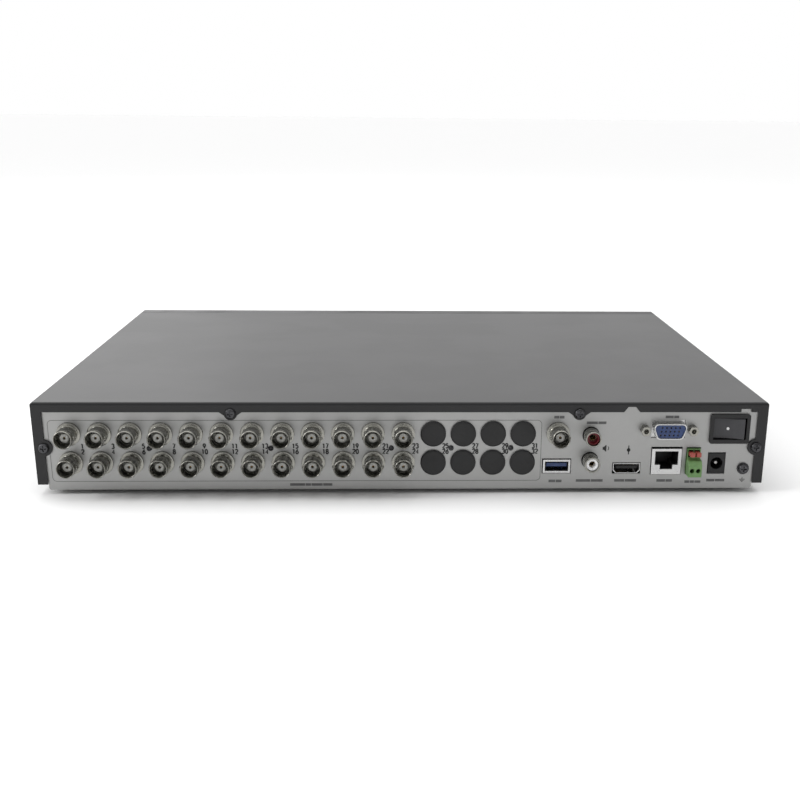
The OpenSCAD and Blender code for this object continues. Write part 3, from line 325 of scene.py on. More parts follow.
# tone and other are the two colours that blotches of the given size mix, rough the two roughnesses, grain
# the grain's fineness along X, Y and Z per metre and its depth in micrometres
finishes = {
    "black_paint": dict(tone=(0.0105, 0.0105, 0.0115), other=(0.0120, 0.0120, 0.0130), blotch=18,
                        rough=(0.385, 0.400), grain=(1400, 1400, 1400), deep=14, shine=0.38),
    "zinc_steel": dict(tone=(0.335, 0.335, 0.33), other=(0.36, 0.36, 0.355), blotch=30, metal=1,
                       rough=(0.38, 0.44), grain=(90, 2600, 2600), deep=5),
    "nickel": dict(tone=(0.25, 0.247, 0.225), other=(0.31, 0.305, 0.275), blotch=160, metal=1,
                   rough=(0.20, 0.28), grain=(120, 2200, 120), deep=1.5),
    "tin_plate": dict(tone=(0.50, 0.50, 0.50), other=(0.58, 0.58, 0.575), blotch=120, metal=1,
                      rough=(0.22, 0.36), grain=(300, 2400, 2400), deep=3),
    "steel_screw": dict(tone=(0.34, 0.34, 0.33), other=(0.46, 0.45, 0.43), blotch=300, metal=1,
                        rough=(0.22, 0.38), grain=(2200, 2200, 2200), deep=6),
    "black_screw": dict(tone=(0.050, 0.050, 0.053), other=(0.085, 0.085, 0.09), blotch=300, metal=1,
                        rough=(0.26, 0.42), grain=(2400, 2400, 2400), deep=6),
    "gold": dict(tone=(0.80, 0.56, 0.22), other=(0.92, 0.70, 0.34), blotch=400, metal=1,
                 rough=(0.16, 0.28), grain=(900, 4000, 900), deep=2),
    "shaded_gold": dict(tone=(0.085, 0.075, 0.075), other=(0.11, 0.095, 0.09), blotch=400, metal=1,
                        rough=(0.30, 0.40), grain=(900, 4000, 900), deep=2),
    "brass": dict(tone=(0.62, 0.45, 0.17), other=(0.75, 0.58, 0.26), blotch=200, metal=1,
                  rough=(0.24, 0.38), grain=(600, 600, 4000), deep=3),
    "aluminium": dict(tone=(0.66, 0.67, 0.68), other=(0.76, 0.77, 0.78), blotch=90, metal=1,
                      rough=(0.30, 0.42), grain=(2500, 160, 2500), deep=5),
    "drive_case": dict(tone=(0.50, 0.51, 0.52), other=(0.60, 0.60, 0.61), blotch=50, metal=1,
                       rough=(0.38, 0.52), grain=(1800, 1800, 1800), deep=8),
    "bezel_plastic": dict(tone=(0.011, 0.011, 0.012), other=(0.013, 0.013, 0.014), blotch=25,
                          rough=(0.40, 0.50), grain=(2600, 2600, 2600), deep=16),
    "black_plastic": dict(tone=(0.0105, 0.0105, 0.011), other=(0.0125, 0.0125, 0.013), blotch=60,
                          rough=(0.38, 0.50), grain=(3000, 3000, 3000), deep=8, shine=0.36),
    "smoked_plastic": dict(tone=(0.006, 0.006, 0.007), other=(0.008, 0.008, 0.009), blotch=20,
                           rough=(0.06, 0.10), grain=(600, 600, 600), deep=1),
    "clear_plastic": dict(tone=(0.72, 0.74, 0.76), other=(0.80, 0.82, 0.84), blotch=200,
                          rough=(0.10, 0.16), grain=(900, 900, 900), deep=1),
    "rubber": dict(tone=(0.014, 0.014, 0.014), other=(0.024, 0.024, 0.023), blotch=220,
                   rough=(0.68, 0.82), grain=(3200, 3200, 3200), deep=22),
    "ptfe": dict(tone=(0.46, 0.46, 0.43), other=(0.54, 0.54, 0.51), blotch=400,
                 rough=(0.38, 0.50), grain=(1800, 4000, 1800), deep=3),
    "red_plastic": dict(tone=(0.13, 0.008, 0.014), other=(0.18, 0.011, 0.018), blotch=260,
                        rough=(0.28, 0.38), grain=(2600, 2600, 2600), deep=4),
    "white_plastic": dict(tone=(0.78, 0.78, 0.78), other=(0.84, 0.84, 0.84), blotch=260,
                          rough=(0.30, 0.40), grain=(2600, 2600, 2600), deep=4),
    "blue_plastic": dict(tone=(0.016, 0.038, 0.125), other=(0.020, 0.046, 0.145), blotch=200,
                         rough=(0.32, 0.44), grain=(3000, 3000, 3000), deep=6),
    "green_plastic": dict(tone=(0.11, 0.225, 0.07), other=(0.135, 0.265, 0.09), blotch=260,
                          rough=(0.34, 0.46), grain=(3000, 3000, 3000), deep=6),
    "orange_plastic": dict(tone=(0.33, 0.060, 0.045), other=(0.40, 0.080, 0.06), blotch=260,
                           rough=(0.32, 0.44), grain=(3000, 3000, 3000), deep=6),
    "chip_black": dict(tone=(0.020, 0.020, 0.021), other=(0.030, 0.030, 0.031), blotch=300,
                       rough=(0.52, 0.66), grain=(5000, 5000, 5000), deep=8),
    "can_blue": dict(tone=(0.012, 0.022, 0.10), other=(0.016, 0.030, 0.13), blotch=180,
                     rough=(0.24, 0.34), grain=(800, 800, 800), deep=2),
    "socket_red": dict(tone=(0.38, 0.03, 0.02), other=(0.46, 0.04, 0.03), blotch=180,
                       rough=(0.38, 0.50), grain=(2600, 2600, 2600), deep=6),
    "board_green": dict(tone=(0.008, 0.060, 0.022), other=(0.012, 0.085, 0.032), blotch=420,
                        rough=(0.26, 0.40), grain=(500, 500, 500), deep=10),
    "rocker_plastic": dict(tone=(0.030, 0.030, 0.034), other=(0.034, 0.034, 0.038), blotch=60,
                           rough=(0.40, 0.46), grain=(3000, 3000, 3000), deep=8),
    "ink": dict(tone=(0.010, 0.010, 0.011), other=(0.016, 0.016, 0.017), blotch=500,
                rough=(0.50, 0.62), grain=(4000, 4000, 4000), deep=3),
    "faintInk": dict(tone=(0.085, 0.085, 0.085), other=(0.105, 0.105, 0.105), blotch=500,
                     rough=(0.50, 0.62), grain=(4000, 4000, 4000), deep=3),
    "whiteInk": dict(tone=(0.62, 0.62, 0.62), other=(0.72, 0.72, 0.72), blotch=500,
                     rough=(0.45, 0.55), grain=(4000, 4000, 4000), deep=3),
}


def makeFinish(name):
    look = finishes[name]
    material = bpy.data.materials.new("finish_" + name)
    material.use_nodes = True
    tree = material.node_tree
    shader = tree.nodes["Principled BSDF"]
    shader.inputs["Metallic"].default_value = look.get("metal", 0)
    shader.inputs["Specular IOR Level"].default_value = look.get("shine", 0.5)
    clouds = tree.nodes.new("ShaderNodeGroup")
    clouds.node_tree = cloudMask
    clouds.inputs["Scale"].default_value = look["blotch"]
    tones = tree.nodes.new("ShaderNodeMix")
    tones.data_type = "RGBA"
    tones.inputs["A"].default_value = (*look["tone"], 1)
    tones.inputs["B"].default_value = (*look["other"], 1)
    rough = tree.nodes.new("ShaderNodeMapRange")
    rough.inputs["To Min"].default_value = look["rough"][0]
    rough.inputs["To Max"].default_value = look["rough"][1]
    grain = tree.nodes.new("ShaderNodeGroup")
    grain.node_tree = fineGrain
    for axis, fineness in zip("XYZ", look["grain"]):
        grain.inputs["Along " + axis].default_value = fineness
    bump = tree.nodes.new("ShaderNodeBump")
    bump.inputs["Distance"].default_value = look["deep"] * 1e-6
    links = tree.links
    links.new(clouds.outputs["Mask"], tones.inputs["Factor"])
    links.new(tones.outputs["Result"], shader.inputs["Base Color"])
    links.new(clouds.outputs["Mask"], rough.inputs["Value"])
    links.new(rough.outputs["Result"], shader.inputs["Roughness"])
    links.new(grain.outputs["Height"], bump.inputs["Height"])
    links.new(bump.outputs["Normal"], shader.inputs["Normal"])
    return material


finish = {name: makeFinish(name) for name in finishes}
print("finishes made:", len(finish))


# ---- CAD nodes that stay: their edges are broken and their finish is set ----

# Width of the broken edges of each node, in millimetres
edgeWidth = {
    "top_cover": 0.16, "base_pan": 0.12, "front_bezel": 0.45, "bezel_window": 0.2, "switch_housing": 0.5,
    "switch_rocker": 0.45, "terminal_body": 0.18, "terminal_lever_left": 0.22,
    "terminal_lever_right": 0.22, "inlet_body": 0.3, "lan_shield": 0.14, "vga_insert": 0.15,
    "disk_drives": 0.5, "heatsink": 0.15, "audio_housing": 0.4, "bnc_housings": 0.4,
    "monitor_housing": 0.4, "drive_sockets": 0.25, "fan_frame": 0.3, "processor": 0.2,
}
otherEdges = 0.1
ownFinish = {"switch_rocker": "rocker_plastic"}    # a node whose finish isn't its slot's
angles = {"flat": 0.3, "edge": 40, "sharp": 50}    # degrees: faces merged, edges broken, shading split


def makeSmoothGroup():
    # Every face shades smooth, and an edge where the faces turn by more than the angle stays sharp
    group = bpy.data.node_groups.new("smoothByAngle", "GeometryNodeTree")
    group.interface.new_socket(name="Geometry", in_out="INPUT", socket_type="NodeSocketGeometry")
    group.interface.new_socket(name="Geometry", in_out="OUTPUT", socket_type="NodeSocketGeometry")
    given, out = group.nodes.new("NodeGroupInput"), group.nodes.new("NodeGroupOutput")
    angle = group.nodes.new("GeometryNodeInputMeshEdgeAngle")
    flat = group.nodes.new("FunctionNodeCompare")
    flat.data_type, flat.operation = "FLOAT", "LESS_THAN"
    flat.inputs["B"].default_value = math.radians(angles["sharp"])
    faces = group.nodes.new("GeometryNodeSetShadeSmooth")
    faces.domain = "FACE"
    edges = group.nodes.new("GeometryNodeSetShadeSmooth")
    edges.domain = "EDGE"
    group.links.new(angle.outputs["Unsigned Angle"], flat.inputs["A"])
    group.links.new(given.outputs[0], faces.inputs["Geometry"])
    group.links.new(faces.outputs["Geometry"], edges.inputs["Geometry"])
    group.links.new(flat.outputs["Result"], edges.inputs["Shade Smooth"])
    group.links.new(edges.outputs["Geometry"], out.inputs[0])
    return group


smoothByAngle = makeSmoothGroup()


def finishNode(name, node):
    # Its finish goes on the object, and modifiers merge flat faces, break the edges and smooth the shading
    slot = ownFinish.get(name, node.data.materials[0].name.split(".")[0])
    node.material_slots[0].link = "OBJECT"
    node.material_slots[0].material = finish[slot]
    weld = node.modifiers.new("weld", "WELD")
    weld.merge_threshold = 1e-6
    flats = node.modifiers.new("flats", "DECIMATE")
    flats.decimate_type = "DISSOLVE"
    flats.angle_limit = math.radians(angles["flat"])
    edges = node.modifiers.new("edges", "BEVEL")
    edges.width = edgeWidth.get(name, otherEdges) * mm
    edges.segments = 2
    edges.limit_method = "ANGLE"
    edges.angle_limit = math.radians(angles["edge"])
    edges.use_clamp_overlap = True
    shade = node.modifiers.new("shade", "NODES")
    shade.node_group = smoothByAngle
    normals = node.modifiers.new("normals", "WEIGHTED_NORMAL")
    normals.keep_sharp = True


for nodeName, node in nodes.items():
    finishNode(nodeName, node)
print("CAD nodes finished")


# ---- coaxial connectors ----

# Radii, and places from the panel outwards, in millimetres. Back means behind the barrel's tip.
bnc = {
    "root": 4.5, "rootDepth": 7, "threadLength": 6.6, "threadDeep": 0.16,
    "ring": 6.1, "ringThick": 1.4, "waist": 4.35, "shoulder": 3.6, "barrel": 4.8,
    "bore": 4.05, "floor": 3.2, "stem": 2.45,
    "lug": 1.0, "lugReach": 5.55, "lugHigh": 1.8, "lugBack": 4.6,
    "nose": 2.35, "noseBack": 4.6, "mouth": 0.72,
    "contact": 1.15, "pinHole": 0.75, "contactBack": 3.2, "fingers": 5,
}


def barrelParts():
    # One closed profile: threaded root, base ring, waist, barrel with a lip, bore with a step
    tip = panelFace - cadLow.y / mm
    b = bnc
    barrel, bore = b["barrel"], b["bore"]
    groove, mouth = barrel - 0.09, bore + 0.05
    step = np.arange(13)
    teeth = np.column_stack([b["root"] - b["threadDeep"] * (step % 2),
                             -b["rootDepth"] + step / 12 * b["threadLength"]])
    outline = [[b["ring"], 0], [b["ring"], b["ringThick"]], [b["waist"] + 0.35, b["ringThick"]],
               [b["waist"], b["ringThick"] + 0.3], [b["waist"], b["shoulder"]],
               [barrel, b["shoulder"] + 0.45], [barrel, tip - 2.3], [groove, tip - 2.15],
               [groove, tip - 1.75], [barrel, tip - 1.6], [barrel, tip - 0.45],
               [barrel - 0.32, tip], [bore + 0.28, tip], [mouth, tip - 0.35],
               [mouth, tip - 2.2], [bore - 0.1, tip - 2.4], [bore - 0.1, b["floor"]],
               [b["stem"], b["floor"]], [b["stem"], -b["rootDepth"]]]
    profile = np.concatenate([teeth, [[b["root"], 0]], softened(outline, 0.16, 2)[2:]])
    shell = turned(profile, 72)
    high = b["lugHigh"]
    lug = turned(softened([[0, 0], [b["lug"], 0], [b["lug"], high - 0.35], [b["lug"] - 0.5, high - 0.05],
                           [0, high]], [0, 0, 0.1, 0.2, 0]), 24)
    inner = b["lugReach"] - high
    lugs = [moved(lug, aboutZ(side * 90), (side * inner, b["lugBack"] - tip, 0)) for side in (1, -1)]
    return [shell] + lugs


def insulatorParts():
    # One closed profile: a stem, a flange that sits on the bore's floor, and a nose with a mouth
    tip = panelFace - cadLow.y / mm - bnc["noseBack"]
    b, floor, hole = bnc, bnc["floor"], bnc["contact"] + 0.05
    outline = [[hole, -b["rootDepth"]], [b["nose"], -b["rootDepth"]], [b["nose"], floor + 0.1],
               [b["bore"] - 0.15, floor + 0.1], [b["bore"] - 0.15, floor + 1.2], [b["nose"], floor + 1.2],
               [b["nose"], tip], [b["mouth"], tip], [b["mouth"], tip - 1.3], [hole, tip - 1.5]]
    radii = [0, 0, 0.05, 0.05, 0.2, 0.15, 0.35, 0.1, 0.05, 0.05]
    return [turned(softened(outline, radii), 48)]


def contactParts():
    # A tail, then four spring fingers: a quarter of a tube's section each, carried along -Y and drawn in
    b = bnc
    tip = panelFace - cadLow.y / mm - b["noseBack"] - b["contactBack"]
    foot = tip - b["fingers"]
    tail = turned(softened([[0, -b["rootDepth"] - 3], [0.6, -b["rootDepth"] - 3], [0.6, -b["rootDepth"]],
                            [b["contact"], -b["rootDepth"]], [b["contact"], foot], [0, foot]],
                           [0, 0.15, 0, 0.1, 0, 0]), 24)
    arc = np.radians(np.linspace(5, 85, 8))
    section = np.concatenate([np.column_stack([np.cos(arc), np.sin(arc)]) * b["contact"],
                              np.column_stack([np.cos(arc[::-1]), np.sin(arc[::-1])]) * b["pinHole"]])
    reach = np.array([foot - 0.05, tip - 2, tip - 0.3, tip])
    close = np.array([1, 0.99, 0.96, 0.88])
    rings = np.stack([np.stack([section[:, 0] * draw, 0 * section[:, 0] - at, section[:, 1] * draw], -1)
                      for at, draw in zip(reach, close)])
    finger = lofted(rings)
    quarter = [np.array([[c, 0, s], [0, 1, 0], [-s, 0, c]])
               for c, s in ((1, 0), (0, 1), (-1, 0), (0, -1))]
    return [tail] + [moved(finger, turn) for turn in quarter]


def makeConnectors():
    # The barrel's box in x and z is its base ring's, so each ring's middle is its axis
    for label, plural in (("bnc", "s"), ("monitor", "")):
        axes = middles(label + "_barrel" + plural)
        axes[:, 1] = panelFace
        for kind, parts, slot in (("barrel", barrelParts(), "nickel"),
                                  ("insulator", insulatorParts(), "ptfe"),
                                  ("contact", contactParts(), "gold")):
            makePiece(label + kind.capitalize() + plural, [copies(part, axes) for part in parts],
                      finish[slot], stands=[label + "_" + kind + plural])
    print("coaxial connectors made")


makeConnectors()


# ---- blanking plugs ----

plug = {"head": 6.65, "thick": 1.8, "stem": 4.75, "lip": 5.1}


def makePlugs():
    # The head is a shallow dome with a rolled edge and a small mark at its middle where it was moulded
    spots = middles("blanking_plugs")
    spots[:, 1] = panelFace
    p = plug
    r = np.linspace(1, 0, 12)
    dome = np.column_stack([(p["head"] - 0.75) * r, p["thick"] - 0.12 * r ** 2 - 0.04])
    dome[-2:, 1] -= 0.07
    rim = softened([[p["stem"], 0], [p["head"], 0], [p["head"], p["thick"] - 0.35],
                    [p["head"] - 0.6, p["thick"] - 0.1]], [0, 0.1, 0.3, 0.2])[4:]
    inside = [[0, 0.25], [p["stem"] - 1, 0.25], [p["stem"] - 1, -4], [p["stem"] - 0.2, -4], [p["lip"], -2],
              [p["lip"], -1.15], [p["stem"], -1.1]]
    head = turned(np.concatenate([[[p["stem"], 0]], rim, dome, inside]), 72)
    makePiece("blankingPlugs", [copies(head, spots)], finish["black_plastic"], stands=["blanking_plugs"])


makePlugs()


# ---- audio sockets ----

audio = {
    "shell": 4.15, "wall": 0.75, "root": 3, "rootOut": 3.95, "shoulder": 0.5, "hole": 1.75,
    "insulators": [     # piece, node, finish, how far its face lies behind the rim, how deep its mouth is
        ("audioInInsulator", "audio_in_insulator", "red_plastic", 1.6, 2.6),
        ("audioOutInsulator", "audio_out_insulator", "white_plastic", 0.7, 0.5),
    ],
}


def makeAudio():
    reach = panelFace - millimetres("audio_shells")[0][1]
    shells = middles("audio_shells")
    shells[:, 1] = panelFace
    a = audio
    inner = a["shell"] - a["wall"]
    outline = [[inner, -a["root"]], [a["rootOut"], -a["root"]], [a["rootOut"], a["shoulder"]],
               [a["shell"], a["shoulder"]], [a["shell"], reach - 4.2], [a["shell"] - 0.12, reach - 4],
               [a["shell"] - 0.12, reach - 3.6], [a["shell"], reach - 3.4], [a["shell"], reach],
               [inner, reach]]
    ring = turned(softened(outline, [0.1, 0.05, 0.02, 0.15, 0.05, 0.05, 0.05, 0.05, 0.45, 0.2]), 64)
    makePiece("audioShells", [copies(ring, shells)], finish["nickel"], stands=["audio_shells"])
    for name, node, slot, back, deep in a["insulators"]:
        spot = middles(node)
        spot[:, 1] = panelFace
        face = reach - back
        body = [[a["hole"], -a["root"]], [inner - 0.1, -a["root"]], [inner - 0.1, face - 0.35],
                [inner - 0.4, face], [a["hole"] + 0.75, face], [a["hole"] + 0.35, face - deep],
                [a["hole"], face - deep]]
        ring = turned(softened(body, [0, 0, 0.1, 0.15, 0.3, 0.1, 0.1]), 56)
        makePiece(name, [copies(ring, spot)], finish[slot], stands=[node])
    print("plugs and audio sockets made")


makeAudio()


# ---- contacts inside the data sockets ----

contactStrips = {
    "videoPitch": 0.5, "videoCount": 19, "videoWide": 0.28, "videoRise": 0.4, "videoApart": 0.8,
    "usbPitch": 2.5, "usbWide": 1.0, "usbFine": 2.0, "usbFineWide": 0.6,
    "vgaPitch": 2.29, "vgaRow": 1.98, "vgaStagger": 0.4, "vgaDeep": 3,
    "usb": [    # piece, node, 1 where the socket opens towards -Y
        ("rearUsbContacts", "rear_usb_tongue", 1), ("frontUsbContacts", "front_usb_tongue", -1),
    ],
}


def makeSocketContacts():
    c = contactStrips
    tongueLow, tongueHigh = millimetres("video_tongue")
    middle = (tongueLow + tongueHigh) / 2
    bend = np.linspace(0, 1, 7)
    path = np.column_stack([tongueLow[1] + 0.5 + bend * 6.5, 0.06 * np.sin(bend * math.pi)])
    blade = strip(path, c["videoWide"], 0.12)
    rise = middle[2] + c["videoRise"]
    apart = c["videoApart"]
    spots = [(middle[0] + (i - (c["videoCount"] - 1) / 2) * c["videoPitch"], 0,
              rise + (apart if i % 2 else -apart)) for i in range(c["videoCount"])]
    makePiece("videoContacts", [copies(blade, spots)], finish["gold"])

    for name, node, towards in c["usb"]:
        low, high = millimetres(node)
        mouth = low[1] if towards > 0 else high[1]
        centre = (low[0] + high[0]) / 2
        under = tongueUnder(node)
        wide = strip(np.column_stack([mouth + towards * (0.9 + bend * 7), -0.07 * np.sin(bend * math.pi)]),
                     c["usbWide"], 0.14)
        fine = strip(np.column_stack([mouth + towards * (0.35 + bend * 1.5), 0 * bend]),
                     c["usbFineWide"], 0.1)
        spots = [(centre + (i - 1.5) * c["usbPitch"], 0, under - 0.03) for i in range(4)]
        small = [(centre + (i - 2) * c["usbFine"], 0, under - 0.02) for i in range(5)]
        makePiece(name, [copies(wide, spots), copies(fine, small)], finish["gold"])

    low, high = millimetres("vga_insert")
    centre = (low + high) / 2
    deep = -c["vgaDeep"]
    sleeve = turned(softened([[0.24, deep], [0.44, deep], [0.44, -0.5], [0.24, -0.5]], 0.06, 2), 20)
    spots = [(centre[0] + i * c["vgaPitch"] + row * c["vgaStagger"], low[1], centre[2] + row * c["vgaRow"])
             for row in (-1, 0, 1) for i in range(-2, 3)]
    makePiece("vgaContacts", [copies(sleeve, spots)], finish["shaded_gold"])
    print("socket contacts made")


def tongueUnder(node):
    # The tongue's underside: the lowest point in front of the block that holds it
    points = nodePoints(node)
    low, high = points.min(0), points.max(0)
    front = points[:, 1] < low[1] + 2 if node.startswith("rear") else points[:, 1] > high[1] - 2
    return points[front][:, 2].min()


makeSocketContacts()


# ---- printed marks: thin raised ink on the panel ----

# Places are in millimetres, X from the case's middle and height from the desk
marks = {
    "thick": 0.03, "line": 0.28,
    "frameLow": (-182.4, 7.0), "frameHigh": (71.6, 39.4), "frameCorner": 2.2,
    "numberHigh": 2.35, "numberWide": 1.15, "numberLine": 0.72, "numberRise": 24.3, "numberAside": 6.4,
    "numberGap": 0.3, "barHigh": 1.4, "barGap": 0.3,
    "earth": (179.6, 6.2), "dot": (117.9, 23.4), "sound": (105.6, 24.3),
    "labels": [     # middle, height, widths of the bars
        (-48.8, 5.0, [7.8, 2.8, 5.8, 4.8]), (79.7, 6.6, [3.6, 3.0]), (97.9, 6.8, [7.6, 6.4]),
        (117, 6.8, [5.4, 6.0]), (137.9, 6.7, [4.6, 3.4]), (153.1, 6.0, [2.6, 2.2, 3.2]),
        (165.3, 6.8, [4.4, 5.0]), (100.2, 38.0, [5.8, 4.2]), (139.8, 41.1, [4.2, 2.6]),
        (80.6, 41.0, [2.6, 2.4]),
    ],
}


def stroke(points, width):
    # A flat ribbon on the panel: the stroke's own normal moves each point half the width to either side,
    # and the ink stands proud of the panel by its thickness
    points = np.array(points, float)
    along = np.gradient(points, axis=0)
    along /= np.maximum(np.linalg.norm(along, axis=1, keepdims=True), 1e-9)
    aside = np.stack([-along[:, 1], along[:, 0]], -1) * width / 2
    top, bottom = panelFace - marks["thick"], panelFace + 0.02
    corners = [(-1, top), (1, top), (1, bottom), (-1, bottom)]
    rings = np.stack([np.column_stack([points[:, 0] + side * aside[:, 0], np.full(len(points), y),
                                       points[:, 1] + side * aside[:, 1]]) for side, y in corners], axis=1)
    return lofted(rings)


def line(a, b, count=2):
    return np.linspace(a, b, count)


def arc(centre, radius, start, end, count=14):
    angle = np.radians(np.linspace(start, end, count))
    return np.column_stack([centre[0] + radius[0] * np.cos(angle), centre[1] + radius[1] * np.sin(angle)])


def frameOutline(low, high, corner):
    # A rectangle with round corners, as one closed run of points
    run = [arc((x, z), (corner, corner), start, start + 90, 6) for x, z, start in (
        (high[0] - corner, high[1] - corner, 0), (low[0] + corner, high[1] - corner, 90),
        (low[0] + corner, low[1] + corner, 180), (high[0] - corner, low[1] + corner, 270))]
    run = np.concatenate(run)
    return np.concatenate([run, run[:1]])


def digitStrokes(digit):
    # Each digit in a box one wide and two high, from lines and arcs
    shapes = {
        0: [arc((0.5, 1), (0.5, 1), 0, 360, 24)],
        1: [[(0.15, 1.6), (0.55, 2)], [(0.55, 2), (0.55, 0)]],
        2: [np.concatenate([arc((0.5, 1.5), (0.5, 0.5), 170, -35), [(0.0, 0.0)], [(1.0, 0.0)]])],
        3: [arc((0.48, 1.5), (0.46, 0.5), 155, -90), arc((0.48, 0.5), (0.52, 0.5), 90, -155)],
        4: [[(0.75, 0), (0.75, 2), (0.0, 0.62), (1.0, 0.62)]],
        5: [np.concatenate([[(0.92, 2), (0.14, 2), (0.08, 1.1)],
                            arc((0.46, 0.64), (0.52, 0.64), 120, -150)])],
        6: [np.concatenate([[(0.8, 2)], arc((0.5, 0.6), (0.5, 0.6), 160, 520, 24)])],
        7: [[(0.02, 2), (1.0, 2), (0.35, 0)]],
        8: [arc((0.5, 1.5), (0.42, 0.5), 0, 360, 20), arc((0.5, 0.5), (0.5, 0.5), 0, 360, 20)],
        9: [np.concatenate([arc((0.5, 1.4), (0.5, 0.6), 0, 360, 24), [(0.35, 0)]])],
    }
    return shapes[digit]


def writeNumber(number, x, z, high, wide, width):
    # The number's digits side by side, centred on x, standing on z
    digits = [int(d) for d in str(number)]
    step = wide * 1.5
    start = x - (step * (len(digits) - 1) + wide) / 2
    made = []
    for place, digit in enumerate(digits):
        for points in digitStrokes(digit):
            points = np.array(points, float)
            made.append(stroke(points * [wide, high / 2] + [start + place * step, z], width))
    return made


def bars(x, z, widths):
    # A label as a row of plain bars, centred on x
    total = sum(widths) + marks["barGap"] * (len(widths) - 1)
    at, made = x - total / 2, []
    for wide in widths:
        made.append(stroke(line((at, z), (at + wide, z)), marks["barHigh"]))
        at += wide + marks["barGap"]
    return made


def makeMarks():
    m = marks
    faint = [stroke(frameOutline(m["frameLow"], m["frameHigh"], m["frameCorner"]), m["line"])]
    for x, z, widths in m["labels"]:
        faint += bars(x, z, widths)
    dark = []
    columns = np.unique(np.round(middles("bnc_barrels")[:, 0], 2))
    covered = np.unique(np.round(middles("blanking_plugs")[:, 0], 2))
    for i, x in enumerate([*columns, *covered]):
        # Two numbers at each column, one above the other
        for number, z in ((2 * i + 1, m["numberGap"]), (2 * i + 2, -m["numberGap"] - m["numberHigh"])):
            dark += writeNumber(number, x + m["numberAside"], m["numberRise"] + z, m["numberHigh"],
                                m["numberWide"], m["numberLine"])
    dark += earthSign(*m["earth"]) + dotSign(*m["dot"]) + audioSign(*m["sound"])
    makePiece("panelMarks", dark, finish["ink"])
    makePiece("panelLabels", faint, finish["faintInk"])
    print("printed marks made")


def earthSign(x, z):
    # An upright over three bars, each shorter than the one above
    return [stroke(line((x, z + 2.2), (x, z + 1.1)), 0.35)] + [
        stroke(line((x - half, z + rise), (x + half, z + rise)), 0.35)
        for half, rise in ((1.5, 1.1), (1.0, 0.45), (0.45, -0.2))]


def dotSign(x, z):
    # A plain bar with a dot on it
    return [stroke(line((x, z - 2.4), (x, z + 2.4)), 0.55),
            stroke(arc((x, z), (0.5, 0.5), 0, 360, 16), 1.0)]


def audioSign(x, z):
    # A small loudspeaker: a filled cone and one arc of sound
    return [stroke(line((x - 1.5, z), (x - 0.6, z)), 1.6), stroke(line((x - 0.7, z), (x - 0.1, z)), 2.4),
            stroke(line((x - 0.2, z), (x + 0.5, z)), 3.4),
            stroke(arc((x + 0.4, z), (1.3, 1.3), -50, 50, 10), 0.4)]


makeMarks()


# ---- the white dot on the rocker ----

rockerDot = {"radius": 0.75, "aside": -0.8, "sunk": 0.1, "proud": 0.03}    # millimetres


def makeRockerDot():
    # A disc on the rocker's dished face, laid where a ray along +Y meets the face and turned to face it
    d = rockerDot
    rocker = nodes["switch_rocker"]
    points = nodePoints("switch_rocker")
    low, high = points.min(0), points.max(0)
    x = (low[0] + high[0]) / 2 + d["aside"]
    z = (low[2] + high[2]) / 2
    rocker.data.update()
    start = (x * mm, low[1] * mm - 0.01, z * mm + 0.001)
    found, place, normal, _ = rocker.ray_cast(start, (0, 1, 0))
    turn = math.degrees(math.atan2(-normal[0], -normal[1])) if found else 0
    profile = [[0, -d["sunk"]], [d["radius"], -d["sunk"]], [d["radius"], d["proud"]], [0, d["proud"]]]
    disc = turned(softened(profile, [0, 0, 0.02, 0]), 32)
    makePiece("rockerDot", [moved(disc, aboutZ(-turn), (x, place[1] / mm, z))], finish["whiteInk"],
              body="rocker")
    print("rocker dot made")


makeRockerDot()


# ---- floor and light ----

# The room's brightness is the product of smooth steps along the direction's axes, so it is darker in
# front of the connector panel, brighter above, and brighter on the left than on the right. The backdrop
# itself is even.
room = {
    "backdrop": 1.0, "floor": 0.97, "floorRough": 0.75,
    "spreads": [    # axis, start, end, brightness before, brightness after
        ("Y", -0.7, 0.3, 0.40, 1.10), ("Z", 0.35, 0.95, 1.0, 1.2), ("X", -0.6, 0.6, 1.12, 0.98),
    ],
    "lamps": {      # place, size, power, aim
        "overhead": ((0, 0.1, 1.9), 2.4, 9, (0, 0, 0)),
        "leftBox": ((-1.35, -0.5, 0.75), 0.55, 9, (0, -0.1, 0)),
        "leftWindow": ((-1.1, 2.3, 1.15), 1.5, 3.5, (0, 0, 0)),
    },
}


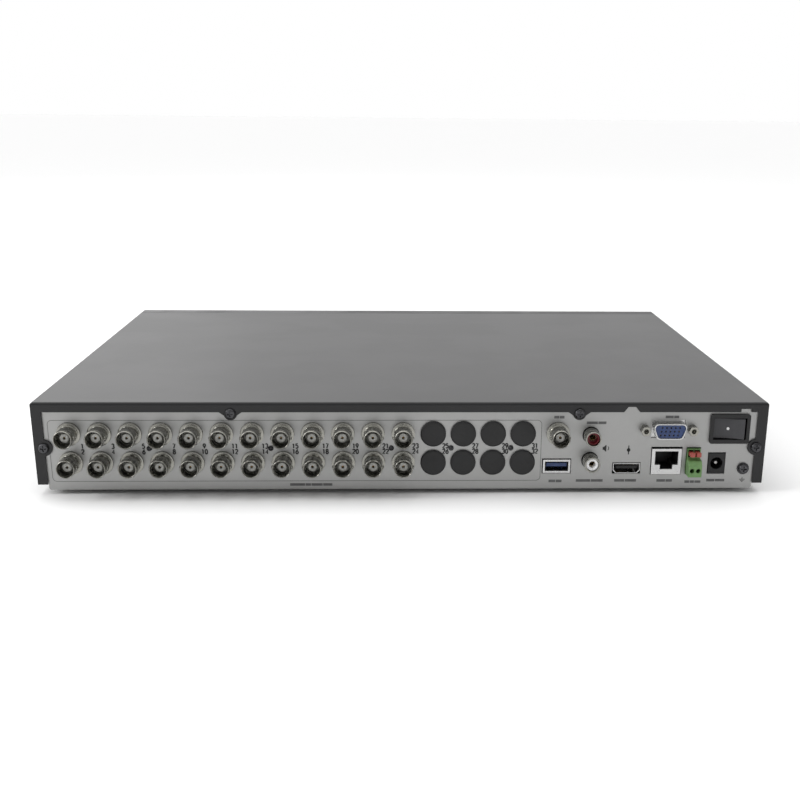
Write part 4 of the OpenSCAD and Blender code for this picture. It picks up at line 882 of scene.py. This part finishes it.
def makeFloor():
    # One flat sheet, far wider than the view, a little finer near the object
    across = np.array([-30, -8, -2, 0, 2, 8, 30], float)
    x, y = np.meshgrid(across, across)
    points = np.stack([x, y, 0 * x], -1).reshape(-1, 3)
    mesh = bpy.data.meshes.new("floor")
    mesh.from_pydata(points.tolist(), [], gridFaces(7, 7, False, False).tolist())
    mesh.polygons.foreach_set("use_smooth", np.ones(len(mesh.polygons), bool))
    material = bpy.data.materials.new("paleFloor")
    material.use_nodes = True
    shader = material.node_tree.nodes["Principled BSDF"]
    shader.inputs["Base Color"].default_value = (*[room["floor"]] * 3, 1)
    shader.inputs["Roughness"].default_value = room["floorRough"]
    mesh.materials.append(material)
    floor = bpy.data.objects.new("floor", mesh)
    bpy.context.scene.collection.objects.link(floor)


def makeLights():
    scene = bpy.context.scene
    world = bpy.data.worlds.new("softRoom")
    world.use_nodes = True
    tree = world.node_tree
    place = tree.nodes.new("ShaderNodeTexCoord")
    axes = tree.nodes.new("ShaderNodeSeparateXYZ")
    tree.links.new(place.outputs["Generated"], axes.inputs["Vector"])
    brightness = None
    for axis, start, end, low, high in room["spreads"]:
        spread = tree.nodes.new("ShaderNodeMapRange")
        spread.interpolation_type = "SMOOTHSTEP"
        for label, value in (("From Min", start), ("From Max", end), ("To Min", low), ("To Max", high)):
            spread.inputs[label].default_value = value
        tree.links.new(axes.outputs[axis], spread.inputs["Value"])
        if brightness is None:
            brightness = spread.outputs["Result"]
            continue
        both = tree.nodes.new("ShaderNodeMath")
        both.operation = "MULTIPLY"
        tree.links.new(brightness, both.inputs[0])
        tree.links.new(spread.outputs["Result"], both.inputs[1])
        brightness = both.outputs["Value"]
    glow, backdrop = tree.nodes["Background"], tree.nodes.new("ShaderNodeBackground")
    for shade in (glow, backdrop):
        shade.inputs["Color"].default_value = (1, 1, 1, 1)
    tree.links.new(brightness, glow.inputs["Strength"])
    backdrop.inputs["Strength"].default_value = room["backdrop"]
    seen = tree.nodes.new("ShaderNodeLightPath")
    choice = tree.nodes.new("ShaderNodeMixShader")
    tree.links.new(seen.outputs["Is Camera Ray"], choice.inputs["Fac"])
    tree.links.new(glow.outputs["Background"], choice.inputs[1])
    tree.links.new(backdrop.outputs["Background"], choice.inputs[2])
    tree.links.new(choice.outputs["Shader"], tree.nodes["World Output"].inputs["Surface"])
    scene.world = world
    for name, (place, size, power, aim) in room["lamps"].items():
        data = bpy.data.lights.new(name, "AREA")
        data.shape, data.size, data.energy = "SQUARE", size, power
        lamp = bpy.data.objects.new(name, data)
        lamp.location = place
        lamp.rotation_euler = (Vector(aim) - Vector(place)).to_track_quat("-Z", "Y").to_euler()
        scene.collection.objects.link(lamp)
    scene.view_settings.view_transform = "Standard"


makeFloor()
makeLights()
print("floor and light set")
